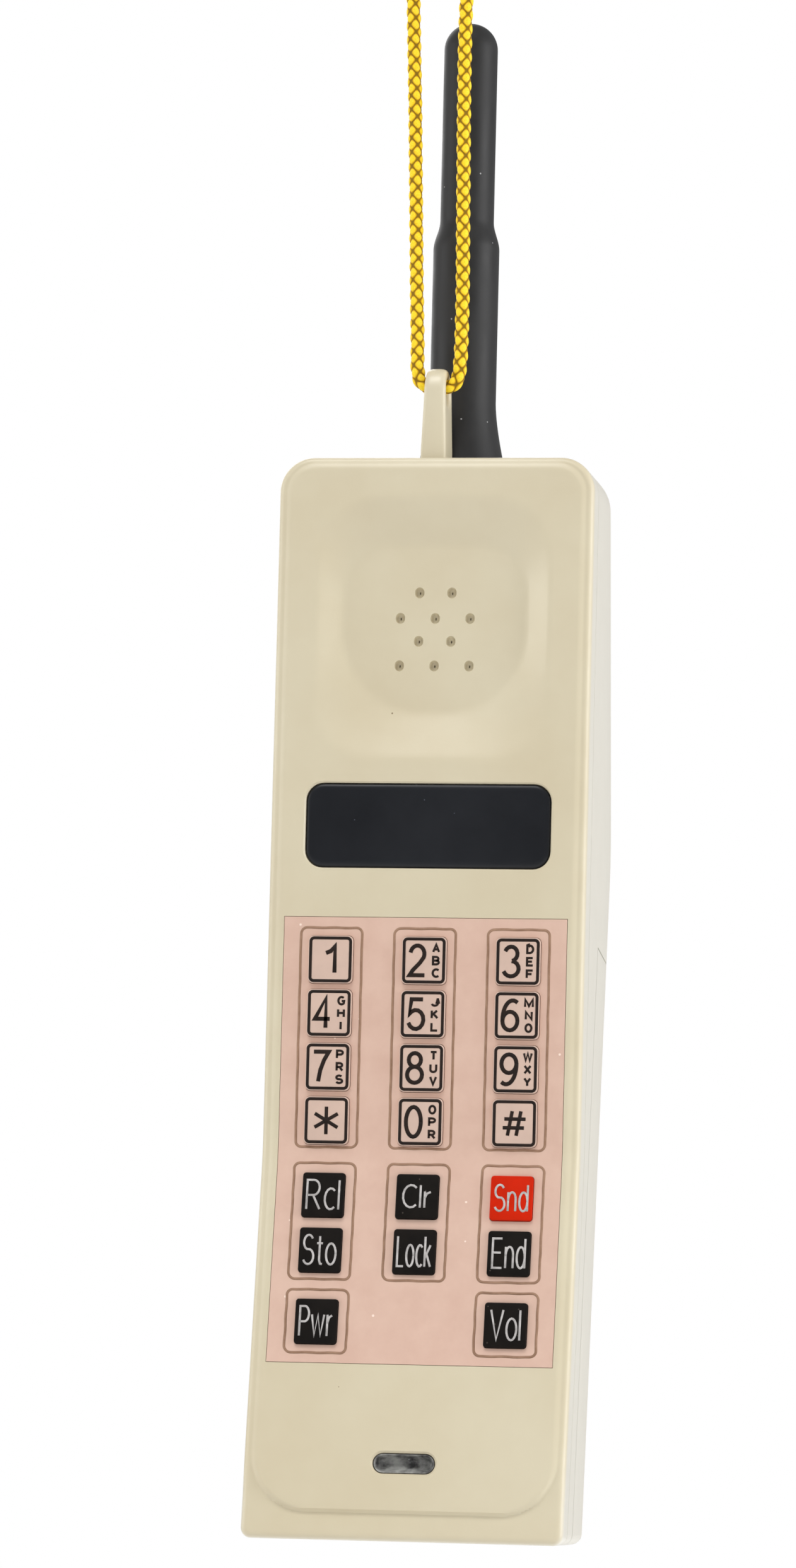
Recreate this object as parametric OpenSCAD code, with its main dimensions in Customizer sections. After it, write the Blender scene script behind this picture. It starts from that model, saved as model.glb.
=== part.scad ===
// Early mobile brick phone: a bent two-piece case with twenty keys, a slide-off
// battery pack down its back, a screw-on antenna and a hanging eye with a cord.
// Millimetres. The phone stands along +Z, faces -Y, and +X is on its right.
// Lengths are written from the base of the case; place() moves them so that
// the origin lies where the cord's loop is held.

/* [Case] */
// Width across the face
case_w = 60.6; // [59:0.2:62]
// Height from the base to the top
case_h = 205; // [204:1:207]
// Height of the bend in the face, between the number keys and the function keys
bend_z = 72; // [71:0.5:73]
// Forward tilt of the face below the bend, in degrees
chin_a = 10; // [8:0.5:12]
// Height of the deepest point of the back
waist_z = 132; // [130:1:134]
// Depth of the case at that point
waist_y = 40; // [39:0.5:42]
// Tilt of the back below that point, in degrees
low_back_a = 9.25; // [8.5:0.25:9.5]
// Tilt of the back above that point, in degrees
top_back_a = 9.67; // [8:0.25:10]
// Wall of the case
wall = 2; // [1.8:0.1:2.2]
// Depth of the front cover, behind the face
front_d = 7; // [6.5:0.25:7.5]

/* [Face] */
// Width of the display window
window_w = 46.8; // [44:0.2:48]
// Height of the display window
window_h = 16; // [14:0.5:17]
// Height of the middle of the display window
window_z = 134.4; // [133:0.2:136]
// Height of the middle of the ear dish
dish_z = 172.4; // [171:0.2:174]
// Radius of the ear dish at the face
dish_r = 22.6; // [21:0.2:23]
// Radius of the floor of the ear dish
dish_floor_r = 17.6; // [16:0.2:18]
// Depth of the ear dish
dish_d = 3; // [2:0.2:3.2]
// Height of the middle of the microphone slot
mic_z = 14.5; // [13:0.5:16]

/* [Keys] */
// Distance between the columns of keys
key_dx = 17.9; // [17:0.1:18.2]
// Distance between the rows of number keys
key_dz = 10.15; // [10:0.05:10.3]
// Width of a number key
num_w = 8.5; // [8:0.1:8.8]
// Height of a number key
num_h = 9; // [8.6:0.1:9.1]
// Width of a function key
fun_w = 8; // [7.6:0.1:8.4]
// Height of a function key
fun_h = 8.5; // [8:0.1:8.8]
// How far a key stands above the face
key_up = 0.7; // [0.4:0.1:1]
// How far a key is pressed in
key_travel = 1; // [0.6:0.1:1]

/* [Antenna] */
// Height of the antenna above the top of the case
ant_h = 88.4; // [80:0.2:90]
// Radius of its foot
ant_foot_r = 8; // [7.5:0.1:8.2]
// Radius of its lower part
ant_low_r = 6.4; // [6:0.1:6.6]
// Radius of its upper part
ant_top_r = 5.2; // [5:0.1:5.6]

/* [Battery] */
// Thickness of the battery pack
pack_t = 17; // [16.8:0.1:17.2]
// Distance from the deepest point of the back down to the top of the pack
pack_top = 22; // [21:0.5:24]

/* [Cord] */
// Diameter of the hanging cord
cord_d = 2.8; // [2.4:0.1:2.8]

/* [Hidden] */
$fn = 48;

fit = 0.2;                // gap round a key and other free pieces
seat = 0.1;               // gap round a piece that is dropped in
side_r = 6.6;             // top corners of the face
foot_r = 2;               // bottom corners of the face
back_r = 10;              // rounding of the top of the back
panel_t = 0.5;            // keypad panel
panel_w = 54;
panel_low = 32.8;
panel_high = 116.9;
far = 100;                // larger than the case in every direction

// the eye, the antenna and the cord share the top of the case
eye_x = -1.2;
eye_y = 7;
eye_t = 4.2;
eye_r = 4.6;
eye_bore_r = 2.4;
eye_z = 218.4;
ant_x = 1.5;
ant_y = 20.5;
hang = [-2.7, 7, 307];    // where the loop of the cord is held

// the cord's route, from inside the eye round the loop and back to where it began
cord_route = [
    [-1.3, 7, 219.3], [-3.2, 7, 219.5], [-4.7, 7, 220.8], [-5.3, 7, 223.4], [-5.4, 7, 228],
    [-5.8, 7, 238], [-6.2, 7, 250], [-6.6, 7, 262], [-7, 7, 274], [-7.5, 7, 286],
    [-7.9, 7, 296], [-8.3, 7, 301], [-7.6, 7, 305.5], [-5.6, 7, 308], [-2.7, 7, 308.8],
    [0.2, 7, 308], [2.2, 7, 305.5], [2.9, 7, 301], [2.5, 7, 296], [2.4, 7, 286],
    [2.5, 7, 274], [2.7, 7, 262], [2.9, 7, 250], [3.1, 7, 238], [3.1, 7, 228],
    [2.9, 7, 223.4], [2.4, 7, 220.8], [0.8, 7, 219.5], [-1.1, 7, 219.3]
];

// rows of keys, top to bottom
num_top = 108.8;
fun_rows = [64.2, 53.8, 40.4];

function num_z(row) = num_top - row * key_dz;
// how far forward the face lies at a height
function face_y(z) = z >= bend_z ? 0 : -(bend_z - z) * tan(chin_a);

// Side outline of the case, g inside its surface: the face, the base, the two
// slopes of the back and the round top of the back.
function arc_points(c, r, a0, a1, n = 10) =
    [for (i = [0:n]) c + r * [cos(a0 + (a1 - a0) * i / n), sin(a0 + (a1 - a0) * i / n)]];
function side_outline(g) =
    let (
        cz = case_h - back_r,
        cy = waist_y - (cz - waist_z) * tan(top_back_a) - back_r / cos(top_back_a),
        kink = waist_z + g * (1 / cos(low_back_a) - 1 / cos(top_back_a))
             / (tan(low_back_a) + tan(top_back_a))
    )
    concat(
        [[g, case_h - g],
         [g, bend_z - g * tan(chin_a / 2)],
         [g / cos(chin_a) + face_y(g), g],
         [low_back_y(g) - g / cos(low_back_a), g],
         [low_back_y(kink) - g / cos(low_back_a), kink]],
        arc_points([cy, cz], back_r - g, top_back_a, 90)
    );
// depth of the lower slope of the back at a height
function low_back_y(z) = waist_y - (waist_z - z) * tan(low_back_a);
function top_back_y(z) = waist_y - (z - waist_z) * tan(top_back_a);

module place() {
    translate(-hang) children();
}
// stretch a side outline across the width
module across(w) {
    translate([-w / 2, 0, 0]) rotate([90, 0, 90]) linear_extrude(w) children();
}
// stretch a front outline from y0 back to y1
module through(y0, y1) {
    translate([0, y1, 0]) rotate([90, 0, 0]) linear_extrude(y1 - y0) children();
}
// go to a place on the face, with -Y pointing straight out of it
module at_face(x, z) {
    translate([x, face_y(z), z]) rotate([z >= bend_z ? 0 : -chin_a, 0, 0]) children();
}
// go to the deepest point of the back, with +Y out of the lower slope and +Z up along it
module on_back() {
    translate([0, waist_y, waist_z]) rotate([-low_back_a, 0, 0]) children();
}
module round_rect(w, h, r) {
    square([w - 2 * r, h], center = true);
    square([w, h - 2 * r], center = true);
    for (x = [-1, 1], z = [-1, 1])
        translate([x * (w / 2 - r), z * (h / 2 - r)]) circle(r);
}
module front_outline(g) {
    w = case_w - 2 * g;
    top_r = side_r - g;
    low_r = max(foot_r - g, 0.4);
    translate([-w / 2, g + low_r]) square([w, case_h - 2 * g - low_r - top_r]);
    translate([-w / 2 + top_r, case_h - g - top_r]) square([w - 2 * top_r, top_r]);
    translate([-w / 2 + low_r, g]) square([w - 2 * low_r, low_r]);
    for (x = [-1, 1]) {
        translate([x * (w / 2 - top_r), case_h - g - top_r]) circle(top_r);
        translate([x * (w / 2 - low_r), g + low_r]) circle(low_r);
    }
}
// the whole case as a solid, g inside its surface
module case_solid(g) {
    intersection() {
        across(case_w - 2 * g) polygon(side_outline(g));
        through(-far / 2, far) front_outline(g);
    }
}
// everything less than d behind the face
module front_zone(d) {
    across(far) polygon([
        [-far, -10], [d / cos(chin_a) + face_y(-10), -10],
        [d, bend_z - d * tan(chin_a / 2)], [d, case_h + 10], [-far, case_h + 10]
    ]);
}
// the space of the battery pack, g larger on its front and top
module pack_zone(g) {
    on_back() translate([-far / 2, -pack_t - g, -200])
        cube([far, far, 200 - pack_top + g]);
}

// ---- keys --------------------------------------------------------------

// [column, height, width, height of key]
function num_key(i) = [(i % 3 - 1) * key_dx, num_z(floor(i / 3)), num_w, num_h];
function fun_key(col, row) = [(col - 1) * key_dx, fun_rows[row], fun_w, fun_h];
all_keys = concat(
    [for (i = [0:11]) num_key(i)],
    [for (col = [0:2]) fun_key(col, 0)],
    [for (col = [0:2]) fun_key(col, 1)],
    [fun_key(0, 2), fun_key(2, 2)]
);
key_r = 1;
flange_y = 2.2;
flange_t = 1;
plunger_r = 2;
dome_y = flange_y + flange_t + key_travel + 0.1;   // front of the membrane's rings
mat_y = dome_y + 1;                                // front of the membrane's sheet
board_y = mat_y + 0.8;                             // front of the key boards

module key(k) {
    at_face(k[0], k[1]) {
        through(-key_up, flange_y) round_rect(k[2], k[3], key_r);
        through(flange_y, flange_y + flange_t) round_rect(k[2] + 2, k[3], key_r);
        through(flange_y + flange_t, dome_y - 0.1) circle(plunger_r);
    }
}
module key_holes(gap) {
    for (k = all_keys)
        at_face(k[0], k[1]) through(-2, wall + 1) round_rect(k[2] + 2 * gap, k[3] + 2 * gap, key_r);
}

module number_key(i) {
    color("#e3c6b2") key(num_key(i));
}
module function_key(i) {
    color("#222226") key(all_keys[12 + i]);
}
module send_key() {
    color("#d7230f") key(all_keys[14]);
}

// ---- keypad ------------------------------------------------------------

module keypad_panel() {
    color("#e1c1af") difference() {
        intersection() {
            difference() {
                front_zone(panel_t);
                front_zone(0);
            }
            translate([-panel_w / 2, -far, panel_low]) cube([panel_w, 2 * far, panel_high - panel_low]);
        }
        key_holes(fit);
    }
}
// a slab behind the face, from y0 to y1, between two heights
module face_slab(y0, y1, w, z0, z1) {
    intersection() {
        difference() {
            front_zone(y1);
            front_zone(y0);
        }
        translate([-w / 2, -far, z0]) cube([w, 2 * far, z1 - z0]);
    }
}
key_board_w = 44.2;
module keypad_membrane() {
    color("#8b8f92") difference() {
        union() {
            face_slab(mat_y, board_y, key_board_w, 35, 115);
            for (k = all_keys) at_face(k[0], k[1]) through(dome_y, mat_y + 0.1) circle(3.7);
        }
        for (k = all_keys) at_face(k[0], k[1]) through(dome_y - 1, mat_y) circle(plunger_r + 0.4);
    }
}
module upper_key_board() {
    color("#2c6b45") face_slab(board_y, board_y + 1.2, key_board_w, bend_z + 1, 118);
}
module lower_key_board() {
    color("#2c6b45") face_slab(board_y, board_y + 1.2, key_board_w, 30, bend_z - 2);
}
module key_board_ribbon() {
    color("#c9842b") face_slab(board_y + 1.2, board_y + 1.5, 14, bend_z - 8, bend_z + 8);
}

// ---- case --------------------------------------------------------------

screw_x = 25.5;
screw_z = [12, 112, 186];  // heights of the case screws, the lower two under the pack
screw_r = 1.2;
head_r = 2.4;
head_y = front_d + 3;      // depth of the underside of a head behind the face
head_h = 1.8;
post_r = 2.1;              // posts in the front cover
tube_r = 3.3;              // tubes in the rear cover
mic_w = 11.7;
mic_h = 3.8;

module mic_slot(g) {
    square([mic_w - mic_h, mic_h + 2 * g], center = true);
    for (x = [-1, 1]) translate([x * (mic_w - mic_h) / 2, 0]) circle(mic_h / 2 + g);
}
// ten sound holes: rows of two and three
module ear_holes() {
    rows = [[6.8, [-3.1, 3.1]], [1.9, [-6.7, 0, 6.7]], [-2.5, [-3.1, 3.1]], [-7.2, [-6.7, 0, 6.7]]];
    for (row = rows, x = row[1])
        translate([x, 0, dish_z + row[0]]) through(-1, 8) circle(0.85);
}
// the six places of the case screws
module at_screws() {
    for (x = [-1, 1], z = screw_z) at_face(x * screw_x, z) children();
}
module dish(g) {
    translate([0, dish_d + g, dish_z]) rotate([90, 0, 0])
        cylinder(h = dish_d + g + (g > 0 ? 0 : 1), r1 = dish_floor_r + g,
                 r2 = dish_r + g + (g > 0 ? 0 : (dish_r - dish_floor_r) / dish_d));
}
// neck of the eye, which both covers close round
module eye_neck(g) {
    translate([eye_x - eye_t / 2 - g, eye_y - eye_r - g, case_h - wall - 1])
        cube([eye_t + 2 * g, 2 * eye_r + 2 * g, wall + 2]);
}

module front_cover() {
    color("#dfd6b7") difference() {
        union() {
            intersection() {
                difference() {
                    case_solid(0);
                    case_solid(wall);
                }
                front_zone(front_d);
            }
            intersection() {
                dish(1.5);
                case_solid(0.5);
            }
            // posts for the case screws
            at_screws() through(wall - 0.5, front_d) circle(post_r);
            // four posts that the main board is screwed to
            for (p = board_holes)
                translate([p[0], 0, p[1]]) through(wall - 0.5, main_y) circle(2);
        }
        dish(0);
        ear_holes();
        key_holes(fit);
        // recess of the keypad panel
        translate([-panel_w / 2 - seat, -far, panel_low - seat]) intersection() {
            cube([panel_w + 2 * seat, 2 * far, panel_high - panel_low + 2 * seat]);
            translate([panel_w / 2 + seat, far, -panel_low + seat]) front_zone(panel_t);
        }
        // recess and opening of the display window
        translate([0, 0, window_z]) {
            through(-1, 1.4) round_rect(window_w + 2 * seat, window_h + 2 * seat, 3.4);
            through(0, wall + 1) round_rect(window_w - 4, window_h - 4, 2);
        }
        at_face(0, mic_z) through(-2, wall + 1) mic_slot(seat);
        at_screws() through(wall + 0.5, front_d + 1) circle(screw_r);
        for (p = board_holes)
            translate([p[0], 0, p[1]]) through(main_y - 3.5, main_y + 1) circle(0.8);
        charging_holes();
        eye_neck(seat);
    }
}

rail_x = 25.4;
rail_low = -100;
rail_high = -30;
bay_gap = 0.3;

module rail(g) {
    for (x = [-1, 1]) {
        translate([x * rail_x - 0.8 - g, -pack_t - bay_gap - 0.1, rail_low - g])
            cube([1.6 + 2 * g, 2.4, rail_high - rail_low + g + (g > 0 ? 30 : 0)]);
        translate([x * rail_x - 2.1 - g, -pack_t + 2 - g, rail_low - g])
            cube([4.2 + 2 * g, 1.3 + 2 * g, rail_high - rail_low + g + (g > 0 ? 30 : 0)]);
    }
}
latch_x = 4;
contact_x = [-8, 0, 8];

module rear_cover() {
    color("#e6e2d4") difference() {
        union() {
            difference() {
                case_solid(0);
                pack_zone(bay_gap);
                difference() {
                    case_solid(wall);
                    pack_zone(bay_gap + wall);
                }
                front_zone(front_d);
            }
            on_back() rail(0);
            // tubes for the case screws
            difference() {
                intersection() {
                    at_screws() through(front_d, far / 2) circle(tube_r);
                    case_solid(0.5);
                }
                pack_zone(bay_gap + 0.5);
            }
            // turret that carries the antenna socket
            translate([ant_x, ant_y, case_h - 14]) cylinder(h = 14, r = ant_foot_r + 0.6);
        }
        at_screws() {
            through(front_d - 1, far) circle(screw_r + 0.2);
            through(head_y, far) circle(head_r + 0.2);
        }
        translate([ant_x, ant_y, case_h - 20]) cylinder(h = 30, r = socket_r);
        // slot of the battery latch
        on_back() {
            translate([-latch_x - 0.4, -wall - 1, -18.6]) cube([2 * latch_x + 0.8, wall + 3, 11.2]);
            translate([-6.4, -5, -pack_top - 1]) cube([12.8, 2.8, 4]);
            for (x = contact_x)
                translate([x - 1.7, -pack_t - 4, -38.2]) cube([3.4, 5, 8.4]);
        }
        charging_holes();
        eye_neck(seat);
    }
}

module hanging_eye() {
    color("#d8cdae") difference() {
        union() {
            translate([eye_x - eye_t / 2, eye_y - eye_r, case_h - wall - 0.1])
                cube([eye_t, 2 * eye_r, eye_z - case_h + wall + 0.1]);
            translate([eye_x, eye_y, eye_z]) rotate([0, 90, 0])
                cylinder(h = eye_t, r = eye_r, center = true);
            // foot inside the case
            translate([eye_x - 5, eye_y - eye_r, case_h - wall - 2.1]) cube([10, 2 * eye_r, 2]);
        }
        translate([eye_x, eye_y, eye_z]) rotate([0, 90, 0])
            cylinder(h = 2 * eye_t, r = eye_bore_r, center = true);
    }
}

// shafts run into the front cover's posts, heads sit in the rear cover's tubes
module case_screws() {
    color("#8d8f92") at_screws() {
        through(wall + 1, head_y) circle(screw_r);
        difference() {
            through(head_y, head_y + head_h) circle(head_r);
            through(head_y + 0.9, head_y + head_h + 1) square([0.7, 3.2], center = true);
        }
    }
}

module charging_holes() {
    for (x = [-1, 1]) translate([x * 9, -6.5, -1]) cylinder(h = wall + 2, r = 2);
}
module charging_contacts() {
    color("#c9a24a") for (x = [-1, 1]) translate([x * 9, -6.5, 0.2]) {
        cylinder(h = wall, r = 2);
        translate([0, 0, wall - 0.2]) cylinder(h = 0.8, r = 2.8);
    }
}

// ---- display, ear and mouth ---------------------------------------------

module display_window() {
    color("#1f2125") translate([0, 0, window_z]) {
        through(0.1, 1.4) round_rect(window_w, window_h, 3.4);
        through(1.4, wall) round_rect(window_w - 4.2, window_h - 4.2, 2);
    }
}
module display_frame() {
    color("#3a3b3d") translate([0, 0, window_z]) difference() {
        through(wall + 0.1, wall + 5) square([50, 19], center = true);
        through(wall, wall + 6) square([44.4, 14.4], center = true);
    }
}
module display_module() {
    color("#5b2a22") translate([0, 0, window_z]) {
        through(wall + 0.3, wall + 3.5) square([44, 14], center = true);
        through(wall + 3.5, wall + 4.5) square([43, 13], center = true);
    }
}
module display_ribbon() {
    color("#c9842b") translate([0, 0, window_z]) {
        through(wall + 4.5, main_y) translate([-8, -0.2]) square([16, 0.4]);
    }
}
module earpiece_gasket() {
    color("#3f4042") translate([0, 0, dish_z]) difference() {
        through(dish_d + 1.5, dish_d + 2.3) circle(15.5);
        through(dish_d + 1, dish_d + 3) circle(12);
    }
}
module earpiece_speaker() {
    color("#77797c") translate([0, 0, dish_z]) {
        through(dish_d + 2.3, dish_d + 4) circle(15.5);
        through(dish_d + 4, dish_d + 7.4) circle(10);
    }
}
module microphone_boot() {
    color("#464a4e") at_face(0, mic_z) difference() {
        union() {
            through(0.6, wall) mic_slot(-0.05);
            through(wall, front_d + 0.5) circle(6.2);
        }
        through(wall + 1, front_d + 1) circle(4.9);
        for (x = [-1, 1]) translate([x * 2.4, 0, 0]) through(0, wall + 2) circle(0.6);
    }
}
module microphone() {
    color("#b9bcc0") at_face(0, mic_z) through(wall + 1.2, front_d + 0.2) circle(4.85);
}

// ---- electronics ---------------------------------------------------------

main_y = 13;
main_t = 1.6;
main_low = 118;
main_high = 186.5;
radio_y = 21.5;
radio_high = 184;
board_w = 55;
board_holes = [[-25, 122], [25, 122], [-25.4, 158], [25.4, 158]];
socket_r = 5.5;

// a board between two heights, cut away round its screws and the case screws' tubes
module board(y, t, z1) {
    difference() {
        translate([-board_w / 2, y, main_low]) cube([board_w, t, z1 - main_low]);
        for (p = board_holes) translate([p[0], 0, p[1]]) through(y - 1, y + t + 1) circle(1.1);
        at_screws() through(0, far) circle(tube_r + 0.5);
    }
}
module main_board() {
    color("#2c6b45") board(main_y, main_t, main_high);
}
// [x, z, width, height, thickness] of each chip
chips = [
    [-12, 160, 14, 14, 2], [8, 164, 18, 12, 2.2], [-14, 138, 10, 18, 1.8],
    [6, 142, 12, 12, 2], [19, 146, 7, 5, 1.6], [19, 136, 7, 5, 1.6]
];
module main_board_chips() {
    color("#26272a") for (c = chips)
        translate([c[0] - c[2] / 2, main_y + main_t, c[1] - c[3] / 2]) cube([c[2], c[4], c[3]]);
}
module radio_board() {
    color("#2f5f7a") board(radio_y, 1.2, radio_high);
}
module radio_shield() {
    color("#b4b8bb") translate([-17, radio_y + 1.2, 148]) difference() {
        cube([30, 6, 32]);
        translate([0.5, -1, 0.5]) cube([29, 6.5, 31]);
    }
}
module board_pillars() {
    color("#c8a557") for (p = board_holes) translate([p[0], 0, p[1]]) difference() {
        through(main_y + main_t, radio_y) circle(2, $fn = 6);
        through(main_y, radio_y + 1) circle(0.9);
    }
}
module board_screws() {
    color("#a3a6a9") for (p = board_holes) translate([p[0], 0, p[1]]) {
        through(radio_y - 3, radio_y + 1.2) circle(0.85);
        difference() {
            through(radio_y + 1.2, radio_y + 2.4) circle(1.9);
            through(radio_y + 1.8, radio_y + 3) square([0.5, 2.4], center = true);
        }
    }
}
module ringer() {
    color("#303134") translate([18, 0, 140]) {
        through(radio_y + 1.2, radio_y + 7) circle(7);
        through(radio_y + 7, radio_y + 7.6) circle(2);
    }
}

// sprung pins that press on the speaker's two tabs
module speaker_contacts() {
    color("#c9a24a") for (x = [-1, 1])
        translate([5 * x, 0, dish_z]) through(dish_d + 7.4, main_y) circle(0.8);
}
// strip from the antenna socket to the radio board
module antenna_lead() {
    color("#c9a24a") translate([ant_x - 2, radio_y + 0.2, radio_high]) cube([4, 0.6, case_h - 17.5 - radio_high]);
}

// ---- antenna ---------------------------------------------------------------

stud_r = 3;
module antenna_socket() {
    color("#c9a24a") translate([ant_x, ant_y, 0]) difference() {
        union() {
            translate([0, 0, case_h - 16]) cylinder(h = 15.9, r = socket_r - 0.05);
            translate([0, 0, case_h - 17.5]) cylinder(h = 1.6, r = 7);
        }
        translate([0, 0, case_h - 15.5]) cylinder(h = 20, r = stud_r + 0.06);
    }
}
module antenna_stud() {
    color("#d2b060") translate([ant_x, ant_y, 0]) {
        translate([0, 0, case_h - 13]) cylinder(h = 23, r = stud_r);
        translate([0, 0, case_h + 0.3]) cylinder(h = 3, r = 5);
    }
}
// outline of the sheath as radius and height above the case
ant_flare_h = 13;
ant_step_h = 43.7;
ant_slim_h = 49.3;
module antenna_sheath() {
    flare = [for (i = [0:8]) let (t = i / 8)
        [ant_low_r + (ant_foot_r - ant_low_r) * pow(1 - t, 2), 0.3 + ant_flare_h * t]];
    tip_z = ant_h - ant_top_r;
    tip = [for (i = [0:12]) [ant_top_r * cos(7.5 * i), tip_z + ant_top_r * sin(7.5 * i)]];
    color("#323234") translate([ant_x, ant_y, case_h]) difference() {
        rotate_extrude() polygon(concat(
            [[0, 0.3]], flare, [[ant_low_r, ant_step_h], [ant_top_r, ant_slim_h]], tip
        ));
        cylinder(h = 3.4, r = 5.05);
        cylinder(h = 10.1, r = stud_r + 0.02);
        cylinder(h = tip_z, r = 2.6);
    }
}
// wire wound on a core: a stack of round beads
module antenna_coil() {
    pitch = 2.4;
    turns = 28;
    color("#b06a3a") translate([ant_x, ant_y, case_h + 11]) {
        cylinder(h = pitch * turns, r = 1.6);
        for (i = [0:turns - 1]) translate([0, 0, pitch * (i + 0.5)])
            rotate_extrude() translate([1.7, 0]) circle(0.7, $fn = 16);
    }
}

// ---- battery -----------------------------------------------------------------

cell_r = 7;
cell_l = 50;
module battery_case() {
    color("#e6e2d4") difference() {
        intersection() {
            case_solid(0);
            pack_zone(0);
        }
        on_back() {
            translate([-22, -pack_t - 1, -132]) cube([44, pack_t - 0.3, 132 - pack_top - 2]);
            rail(0.4);
            // notch under the tongue of the latch
            translate([-6.6, -4.8, -25]) cube([13.2, 3, 4]);
        }
    }
}
module battery_lid() {
    color("#d9d4c3") on_back() difference() {
        translate([-21.9, -pack_t, -131.9]) cube([43.8, 1.2, 131.8 - pack_top - 2]);
        for (x = contact_x) translate([x - 2.6, -pack_t - 1, -39]) cube([5.2, 3, 10]);
    }
}
module battery_cells() {
    color("#3f6d9c") on_back() for (x = [-1:1], row = [0:1])
        translate([x * 14.2, -pack_t + 1.3 + cell_r, -75.8 - row * 52]) {
            cylinder(h = cell_l - 1, r = cell_r);
            cylinder(h = cell_l, r = 2.6);
        }
}
module battery_terminals() {
    color("#d8b25a") on_back() for (x = contact_x)
        translate([x - 2.5, -pack_t + 0.15, -38.9]) cube([5, 0.6, 9.8]);
}
module battery_contacts() {
    color("#c9a24a") on_back() for (x = contact_x)
        translate([x - 1.5, -pack_t - 3.8, -38]) {
            cube([3, 0.4, 8]);
            translate([0, 0, 3]) cube([3, 3.7, 1.2]);
        }
}
// slides up against its spring; its tongue lies over the pack's notch
module battery_latch() {
    color("#d2ccba") on_back() {
        translate([-6.5, 0.15, -18.2]) difference() {
            cube([13, 1.6, 8]);
            for (i = [0:3]) translate([-1, 1.1, 1.2 + i * 1.6]) cube([15, 1, 0.7]);
        }
        translate([-latch_x, -wall - 0.2, -18.2]) cube([2 * latch_x, wall + 0.4, 7]);
        translate([-6, -4.4, -21.7]) cube([12, 2.2, 10.5]);
    }
}
module latch_spring() {
    color("#9ea1a4") on_back() translate([0, -3.4, -11.1]) difference() {
        cylinder(h = 7, r = 1.4);
        translate([0, 0, -1]) cylinder(h = 9, r = 1);
    }
}

// ---- cord ----------------------------------------------------------------------

// A tube along a route: ring i stands square to the route, its first radius kept
// along Y, because the whole route lies in one upright plane.
module tube(route, r, sides = 8) {
    n = len(route);
    function ahead(i) = route[min(i + 1, n - 1)] - route[max(i - 1, 0)];
    function unit(v) = v / norm(v);
    flat = [0, 1, 0];
    points = [for (i = [0:n - 1]) let (u = cross(unit(i == 0 || i == n - 1 ? [-1, 0, 0] : ahead(i)), flat))
        for (s = [0:sides - 1]) let (a = 360 * s / sides) route[i] + r * (cos(a) * flat + sin(a) * u)];
    walls = [for (i = [0:n - 2], s = [0:sides - 1]) let (s2 = (s + 1) % sides)
        [(i + 1) * sides + s, (i + 1) * sides + s2, i * sides + s2, i * sides + s]];
    ends = [[for (s = [0:sides - 1]) s], [for (s = [sides - 1:-1:0]) (n - 1) * sides + s]];
    polyhedron(points, concat(walls, ends), convexity = 6);
}
module hanging_cord() {
    color("#f2d21c") tube(cord_route, cord_d / 2);
}
// the two ends of the cord, tied over the top of the loop
module cord_knot() {
    color("#e8c61a") translate([hang[0], hang[1], 308.8]) {
        rotate([0, 90, 0]) translate([0, 0, -4]) cylinder(h = 8, r = 3.1);
        for (s = [-1, 1]) rotate([0, s * 22, 0]) translate([s * 0.9, 0, 2]) cylinder(h = 11, r = cord_d / 2);
    }
}

// ---- parts ---------------------------------------------------------------------

place() front_cover();
place() rear_cover();
place() hanging_eye();
place() display_window();
place() display_frame();
place() display_module();
place() display_ribbon();
place() keypad_panel();
place() keypad_membrane();
place() upper_key_board();
place() lower_key_board();
place() key_board_ribbon();
place() number_key(0);  // key_1
place() number_key(1);  // key_2
place() number_key(2);  // key_3
place() number_key(3);  // key_4
place() number_key(4);  // key_5
place() number_key(5);  // key_6
place() number_key(6);  // key_7
place() number_key(7);  // key_8
place() number_key(8);  // key_9
place() number_key(9);  // key_star
place() number_key(10);  // key_0
place() number_key(11);  // key_hash
place() function_key(0);  // key_rcl
place() function_key(1);  // key_clr
place() send_key();  // key_snd
place() function_key(3);  // key_sto
place() function_key(4);  // key_lock
place() function_key(5);  // key_end
place() function_key(6);  // key_pwr
place() function_key(7);  // key_vol
place() earpiece_speaker();
place() earpiece_gasket();
place() microphone();
place() microphone_boot();
place() main_board();
place() main_board_chips();
place() radio_board();
place() radio_shield();
place() board_pillars();
place() board_screws();
place() ringer();
place() antenna_socket();
place() antenna_sheath();
place() antenna_coil();
place() antenna_stud();
place() battery_case();
place() battery_lid();
place() battery_cells();
place() battery_terminals();
place() battery_contacts();
place() battery_latch();
place() latch_spring();
place() case_screws();
place() charging_contacts();
place() antenna_lead();
place() speaker_contacts();
place() hanging_cord();
place() cord_knot();
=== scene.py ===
"""Looks of an early mobile brick phone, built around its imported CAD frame.

Every shape is a numpy surface. Lengths in this file are millimetres from the middle of
the case's base, with the flat upper face at y = 0, +x to the right and +z up; at() turns
them into metres in the frame.
"""

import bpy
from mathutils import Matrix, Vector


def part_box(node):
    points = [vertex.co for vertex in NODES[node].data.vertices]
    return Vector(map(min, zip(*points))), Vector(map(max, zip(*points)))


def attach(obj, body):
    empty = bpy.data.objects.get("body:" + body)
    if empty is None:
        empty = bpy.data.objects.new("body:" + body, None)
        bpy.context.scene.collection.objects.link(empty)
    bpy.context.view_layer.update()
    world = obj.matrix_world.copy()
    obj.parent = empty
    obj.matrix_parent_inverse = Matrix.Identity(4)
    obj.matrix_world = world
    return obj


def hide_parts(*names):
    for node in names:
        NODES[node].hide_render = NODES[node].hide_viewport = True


bl_info = {
    "name": "Brick phone",
    "version": (1, 0, 0),
    "blender": (4, 5, 0),
    "location": "View3D > Sidebar > Phone",
    "description": "Builds the case, keypad, antenna, battery and cord of a brick phone",
    "category": "Object",
}

import math

import bmesh
import bpy
import numpy as np
from mathutils import Matrix, Vector

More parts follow.
